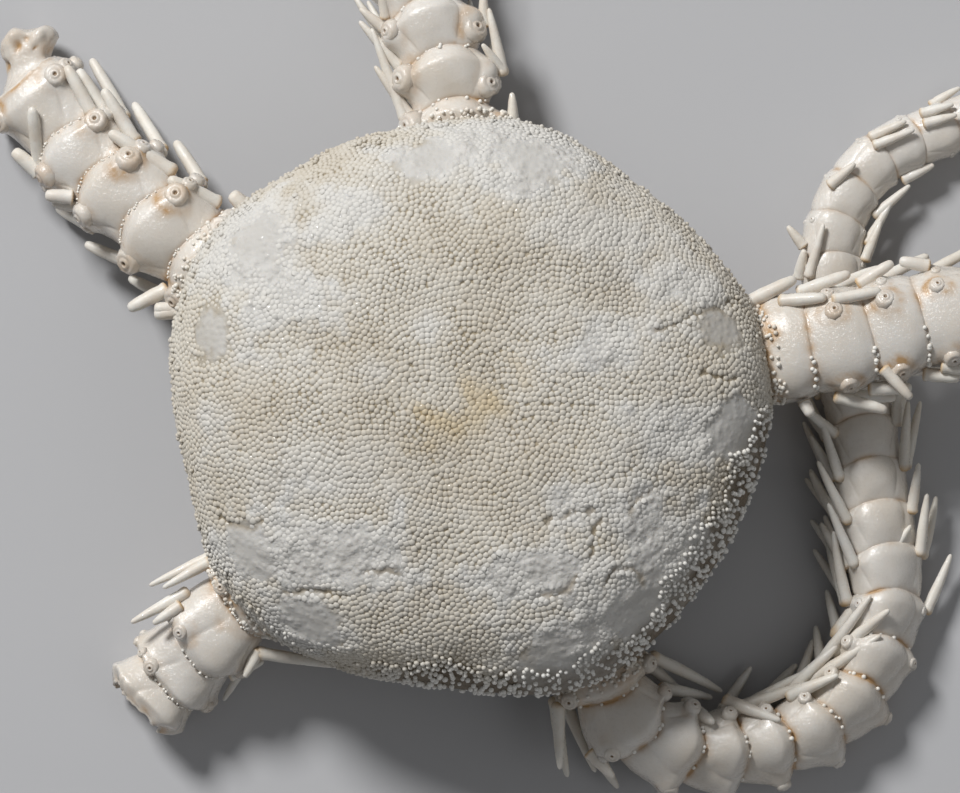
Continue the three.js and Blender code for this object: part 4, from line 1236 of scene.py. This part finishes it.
# Sockets on all knobs, and spines in rows where the photograph doesn't show how they stand
def placeRows(arm, draw):
    spineRows, socketRows = [], []
    for knob in arm["knobs"]:
        at, around, row = knob["at"], knob["around"], knob["row"]
        here, out, ahead = outwardsAt(arm, at, around)
        if pastDisc(here) < -0.1 or here[2] < 0.42:
            continue
        missing = draw.random() < spines["goneNear" if at < spines["nearTo"] else "goneFar"][row]
        length = (spines["least"] + spines["byWidth"] * float(widthAt(arm, at))) * draw.uniform(0.8, 1.22)
        lean, sideways, bow = draw.uniform(0, 9), draw.uniform(-0.10, 0.10), draw.uniform(-0.02, 0.09)
        tone = draw.uniform(0, 1)
        socketRows.append({
            "at": at, "around": around, "base": here, "aim": unit(out + 0.12 * ahead), "size": knob["size"],
            "bold": knob["bold"], "tone": tone, "stain": min(0.4, 0.5 * knob["stain"]) * knob["bold"]})
        if any(start <= at <= end for start, end in arm["seen"]):
            shown = abs(math.degrees(around)) + float(ramp(arm["roll"], at)) * np.sign(around) < 104
            if shown or knob["dropped"]:
                continue
            length *= 0.75
        if missing or (arm["brokenAt"] and at > arm["reach"] - 1.4):
            continue
        spine = leaningSpine(arm, knob, here, out, ahead, length, lean, sideways, bow, tone)
        if spine:
            spineRows.append(spine)
    return spineRows, socketRows


# Spines where the photograph shows them. A foot that lies beside the arm slips onto it, and its tip with it.
def placeSeen(arm, draw):
    rows = []
    for start, end in arm["spinesSeen"]:
        foot, head = np.array(fromPhoto(start)), np.array(fromPhoto(end))
        at, across = landOn(arm, *foot)
        at = min(max(at, 0.4), arm["reach"] - 0.15)
        around = angleOver(arm, at, across)
        here, out, _ = outwardsAt(arm, at, around)
        off = foot - here[:2]
        slip = off * max(0, 1 - spines["besides"] / max(float(np.linalg.norm(off)), 1e-6))
        foot, head = foot - slip, head - slip
        tip = np.array([*head, here[2] + 0.15])
        headAt, headAcross = landOn(arm, *head)
        if abs(headAcross) < 0.5 * float(widthAt(arm, headAt)) * 1.02:
            under, _, _ = outwardsAt(arm, headAt, angleOver(arm, headAt, headAcross))
            tip[2] = max(tip[2], under[2] + 0.32)
        thick = spineThick(arm, at) * draw.uniform(1.0, 1.2)
        base = here + out * 0.08
        base[:2] = 0.35 * base[:2] + 0.65 * foot
        length = float(np.linalg.norm(tip - base))
        rows.append({"at": at, "around": around, "base": base, "aim": unit(tip - base), "thick": thick,
                     "length": length, "bend": np.array([0, 0, -0.02 * length]), "tone": draw.uniform(0, 1),
                     "stain": 0.2})
    return rows


# edges has, for each arm, between which degrees the beads of a row stand, how many and how large
beads = {
    "joints": 9, "size": 0.078, "atRoot": 60, "proud": 0.03,
    "edges": {"arm_right": (0, 52, 8, 1.2), "arm_top": (-40, 40, 7, 0.8),
              "arm_lower_right": (-36, 40, 5, 1.0),
              "arm_upper_left": (-44, 40, 22, 0.52), "arm_lower_left": (-42, 42, 16, 0.62)},
}


# Rows of beads along the far edges of the plates on the back, and a loose heap of them at the disc's rim
def placeBeads(name, arm):
    draw = np.random.default_rng(arm["seed"] + 9)
    rows = []
    start, end, count, large = beads["edges"][name]
    for joint in arm["joints"][1:beads["joints"]][:len(arm["joints"]) - 2]:
        for turn in np.linspace(start, end, count) + draw.uniform(-1.2, 1.2, count) * (end - start) / count:
            around = math.radians(turn) + turnAt(arm, joint)
            at = joint + float(bowAt(arm, joint, around)) + draw.uniform(-0.08, 0.03)
            here, out, _ = outwardsAt(arm, at, around)
            if pastDisc(here) >= -0.2:
                rows.append({"at": at, "around": around, "base": here + out * beads["proud"], "aim": out,
                             "tone": draw.uniform(0, 0.6), "size": draw.uniform(0.75, 1.3) * large,
                             "stain": 0.05})
    steps = np.arange(0.2, 3.4, 0.04)[:, None]
    for _ in range(beads["atRoot"]):
        around = math.radians(draw.uniform(-80, 80))
        off, size = 0.02 + 0.42 * draw.random() ** 1.8, draw.uniform(0.75, 1.25)
        line = armPoint(arm, steps, np.full_like(steps, around), np.ones_like(steps))[:, 0]
        at = float(steps[int(np.argmax(pastDisc(line) > off)), 0])
        here, out, _ = outwardsAt(arm, at, around)
        rows.append({"at": at, "around": around, "base": here + out * beads["proud"], "aim": out,
                     "tone": draw.uniform(0, 0.6), "size": size, "stain": draw.uniform(0, 0.3)})
    return rows


def standing(name, rows, arm, shape, finish, scales):
    values = {
        "aim": [row["aim"] for row in rows], "tone": [row["tone"] for row in rows],
        "scale3": np.array([scales(row) for row in rows]) * mm, "stain": [row["stain"] for row in rows],
        "bend": np.array([row.get("bend", (0, 0, 0)) for row in rows]) * mm,
        "rootUv": [unwrapAt(arm, row["at"], row["around"]) for row in rows],
    }
    return standOn(name, [row["base"] for row in rows], values, shape, spines["patch"], finish)


coats = []
for name, arm in arms.items():
    draw = np.random.default_rng(arm["seed"] + 7)
    spineRows, socketRows = placeRows(arm, draw)
    spineRows += placeSeen(arm, draw)
    beadRows = placeBeads(name, arm)
    coats += [
        standing(f"{name}_spines", spineRows, arm, spineShapes[arm["shape"]], spineFinish,
                 lambda row: (row["thick"], row["thick"], row["length"])),
        standing(f"{name}_sockets", socketRows, arm, socketShape, plateFinish,
                 lambda row: (spines["socket"] * row["size"] * (0.4 + 0.6 * row["bold"]),) * 3),
        standing(f"{name}_beads", beadRows, arm, beadShape, beadFinish,
                 lambda row: (beads["size"] * row["size"],) * 3)]
    print(name, len(spineRows), "spines", len(socketRows), "sockets", len(beadRows), "beads")

# The plates under the disc, as outlines: outwards from the mouth or from the plate's own place, and to
# one side
mouth = {
    "jawsTowards": 42, "roof": 3.3,
    "jaw": [(0.55, 0.03), (0.75, 0.36), (2.2, 1.05), (3.1, 1.28), (3.25, 0.7), (2.5, 0.05)],
    "besideJaw": [(2.7, 0.15), (3.35, 0.75), (3.7, 1.45), (4.3, 1.5), (3.7, 0.7)],
    "shield": [(3.0, 0), (3.6, 0.85), (4.4, 0.92), (4.95, 0.35), (4.95, -0.35), (4.4, -0.92), (3.6, -0.85)],
    "tooth": [(-0.17, 0.13), (0, 0.3), (0.18, 0.16), (0.05, -0.05)], "teeth": 4, "firstTooth": (0.8, 0.36),
    "toothStep": (0.42, 0.21),
    "jawTip": [(0.3, 0), (0.5, 0.2), (0.78, 0.17), (0.78, -0.17), (0.5, -0.2)],
}
underArm = {
    "bed": [(4.4, -0.9), (6.2, -1.35), (8.7, -1.45), (8.9, 0), (8.7, 1.45),
            (6.2, 1.35), (4.4, 0.9), (4.2, 0)],
    "plates": 4, "first": 4.35, "step": 1.12, "wide": 0.50, "wider": 0.035,
    "flank": [(0.05, 0.10), (0.1, 0.72), (0.7, 0.85), (1.0, 0.6), (0.95, 0)],
    "scale": [(0.42, -0.02), (0.55, 0.2), (0.9, 0.18), (0.85, -0.08)],
    "lip": [(4.7, 1.75), (6.2, 1.95), (8.4, 2.15), (8.5, 1.9), (6.2, 1.66), (4.7, 1.5)],
}


# Cushion-like plates that look down, gathered into one mesh
class PlateHeap:
    def __init__(self, towards):
        self.towards = towards
        self.points, self.faces, self.tone, self.stain = [], [], [], []

    # A closed cushion: its outline is in the plane, its edge is rounded and its face domed.
    # side mirrors the outline, and at moves it before it is turned with the heap.
    def add(self, outline, high, low, tone, dome=0.06, side=1, at=(0, 0)):
        cos, sin = math.cos(self.towards), math.sin(self.towards)
        outline = [(at[0] + x, (at[1] + y) * side) for x, y in outline]
        outline = np.array([(x * cos - y * sin, x * sin + y * cos) for x, y in outline])
        steps = np.linspace(0, len(outline), 29)[:-1]
        near = np.floor(steps).astype(int)
        part = (steps - near)[:, None]
        edge = outline[near % len(outline)] * (1 - part) + outline[(near + 1) % len(outline)] * part
        for _ in range(2):
            edge = 0.25 * np.roll(edge, 1, 0) + 0.5 * edge + 0.25 * np.roll(edge, -1, 0)
        middle = edge.mean(axis=0)
        # how far inside the edge, how high, how much darker brown
        profile = ((1.0, 1.0, 0.9), (1.0, 0.45, 0.8), (0.965, 0.2, 0.45), (0.88, 0.06, 0.12), (0.7, 0.0, 0.0),
                   (0.4, -0.03, 0.0))
        rings = []
        for inside, share, _ in profile:
            height = low + dome * share + (high - low - dome) * max(share, 0)
            rings.append(np.column_stack([middle + (edge - middle) * inside, np.full(len(edge), height)]))
        block = np.vstack(rings + [[*middle, high], [*middle, low - 0.02]])
        block[:, 2] = np.maximum(block[:, 2], 0.03)
        first = sum(len(other) for other in self.points)
        area = np.sum(edge[:, 0] * np.roll(edge[:, 1], -1) - np.roll(edge[:, 0], -1) * edge[:, 1])
        turned = slice(None, None, -1 if area > 0 else 1)
        self.faces += [[first + k for k in face][turned] for face in ringFaces(len(rings), len(edge))]
        self.points.append(block)
        self.tone.append(np.full(len(block), tone))
        self.stain.append(np.append(np.repeat([ring[2] for ring in profile], len(edge)), [0.9, 0]))

    def build(self, name):
        values = {"tone": np.concatenate(self.tone), "stain": np.concatenate(self.stain)}
        return makeObject(name, np.vstack(self.points), self.faces, values, None, mouthFinish)


def makeMouth():
    heap = PlateHeap(0)
    draw = np.random.default_rng(77)
    corners = [(mouth["roof"] * math.cos(k * math.pi / 14), mouth["roof"] * math.sin(k * math.pi / 14))
               for k in range(28)]
    heap.add(corners, 1.35, 0.62, 0.9, 0.02)
    for k in range(5):
        heap.towards = math.radians(mouth["jawsTowards"] + 72 * k)
        for side in (-1, 1):
            heap.add(mouth["jaw"], 1.2, 0.05, draw.uniform(0.1, 0.6), side=side)
            heap.add(mouth["besideJaw"], 1.2, 0.1, draw.uniform(0.1, 0.6), side=side)
        heap.add(mouth["shield"], 1.2, 0.07, draw.uniform(0, 0.4), 0.1)
        for step in range(mouth["teeth"]):
            at = [start + more * step for start, more in zip(mouth["firstTooth"], mouth["toothStep"])]
            for side in (-1, 1):
                heap.add(mouth["tooth"], 0.9, 0.12, draw.uniform(0, 0.3), 0.05, side, at)
        heap.add(mouth["jawTip"], 1.0, 0.1, 0.1, 0.05)
    return heap.build("mouth_plates")


def makeUnderArm(name, arm):
    heap = PlateHeap(math.radians(arm["towards"]))
    draw = np.random.default_rng(arm["seed"] + 20)
    heap.add(underArm["bed"], 1.6, 0.42, 0.9, 0.1)
    for step in range(underArm["plates"]):
        near, wide = underArm["first"] + underArm["step"] * step, underArm["wide"] + underArm["wider"] * step
        corners = [(0, 0.7), (0.25, 1), (0.85, 0.85)]
        belly = ([(x, -y * wide) for x, y in corners] + [(1.04, 0)]
                 + [(x, y * wide) for x, y in reversed(corners)])
        heap.add(belly, 0.9, 0.1, draw.uniform(0, 0.5), 0.08, 1, (near, 0))
        for side in (-1, 1):
            heap.add(underArm["flank"], 1.3, 0.2, draw.uniform(0.1, 0.6), 0.14, side, (near, wide))
            heap.add(underArm["scale"], 0.9, 0.06, 0.1, 0.05, side, (near, wide))
    for side in (-1, 1):
        heap.add(underArm["lip"], 1.4, 0.75, 0.5, 0.12, side)
    return heap.build(f"{name}_belly")


mouthPiece = makeMouth()
underArms = {name: makeUnderArm(name, arm) for name, arm in arms.items()}
print("mouth made")

# Lamps stand off the middle of the disc, in metres
stageLook = {
    "floor": (0.50, 0.50, 0.51), "floorSize": 2, "world": (0.95, 0.97, 1.0), "worldPower": 0.16,
    "lamps": {"key": {"off": (-0.17, 0.24, 0.25), "size": 0.10, "power": 1.5},
              "fill": {"off": (0.28, -0.12, 0.30), "size": 0.30, "power": 0.13}},
    "lampsAim": 3, "cameraHigh": 250, "aimOff": (0.34, 0.39), "aimHigh": 4.3, "film": 36,
}


def makeFloor():
    material, weave, shader = newMaterial("floorFinish")
    weave.fill(shader, {"Base Color": stageLook["floor"], "Roughness": 0.8})
    mesh = bpy.data.meshes.new("floor")
    far = stageLook["floorSize"]
    mesh.from_pydata([(-far, -far, 0), (far, -far, 0), (far, far, 0), (-far, far, 0)], [], [(0, 1, 2, 3)])
    mesh.materials.append(material)
    floor = newObject("floor", mesh)


def makeLamps():
    middle = Vector(placed([0, 0, stageLook["lampsAim"]]).tolist())
    for name, lamp in stageLook["lamps"].items():
        light = bpy.data.lights.new(name, "AREA")
        light.shape = "DISK"
        light.size, light.energy = lamp["size"], lamp["power"]
        thing = newObject(name, light)
        thing.location = middle + Vector(lamp["off"])
        thing.rotation_euler = (middle - thing.location).to_track_quat("-Z", "Y").to_euler()
    world = bpy.data.worlds.new("studio")
    world.use_nodes = True
    Weave(world.node_tree).fill(world.node_tree.nodes["Background"], {
        "Color": stageLook["world"], "Strength": stageLook["worldPower"]})
    bpy.context.scene.world = world
    bpy.context.scene.view_settings.view_transform = "Standard"


# Looks straight down, so far off that the photograph's width fits the film
def makeCamera():
    data = bpy.data.cameras.new("camera")
    data.sensor_width = stageLook["film"]
    data.lens = stageLook["film"] * stageLook["cameraHigh"] / (photo["wide"] / photo["perMm"])
    camera = newObject("camera", data)
    camera.location = placed([*stageLook["aimOff"], stageLook["aimHigh"] + stageLook["cameraHigh"]]).tolist()
    bpy.context.scene.camera = camera


makeFloor()
makeLamps()
makeCamera()
print("stage made")

for shape in (*spineShapes.values(), socketShape, granuleShape, beadShape):
    bpy.data.objects.remove(shape)


def handOver(piece, slot, *nodes):
    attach(piece, "root")
    if nodes:
        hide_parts(*nodes)


handOver(discSkin, "granular_disc", "disc")
for piece in granulePieces:
    handOver(piece, "granular_disc")
for name, skin in armSkins.items():
    count = arms[name]["nodes"]
    handOver(skin, "arm_plates", *([name] if count == 1 else [f"{name}_{k + 1}" for k in range(count)]))
for piece in coats:
    handOver(piece, "arm_plates")
handOver(mouthPiece, "mouth_plates", "mouth_frame")
for name, piece in underArms.items():
    handOver(piece, "mouth_plates", f"{name}_under_disc")
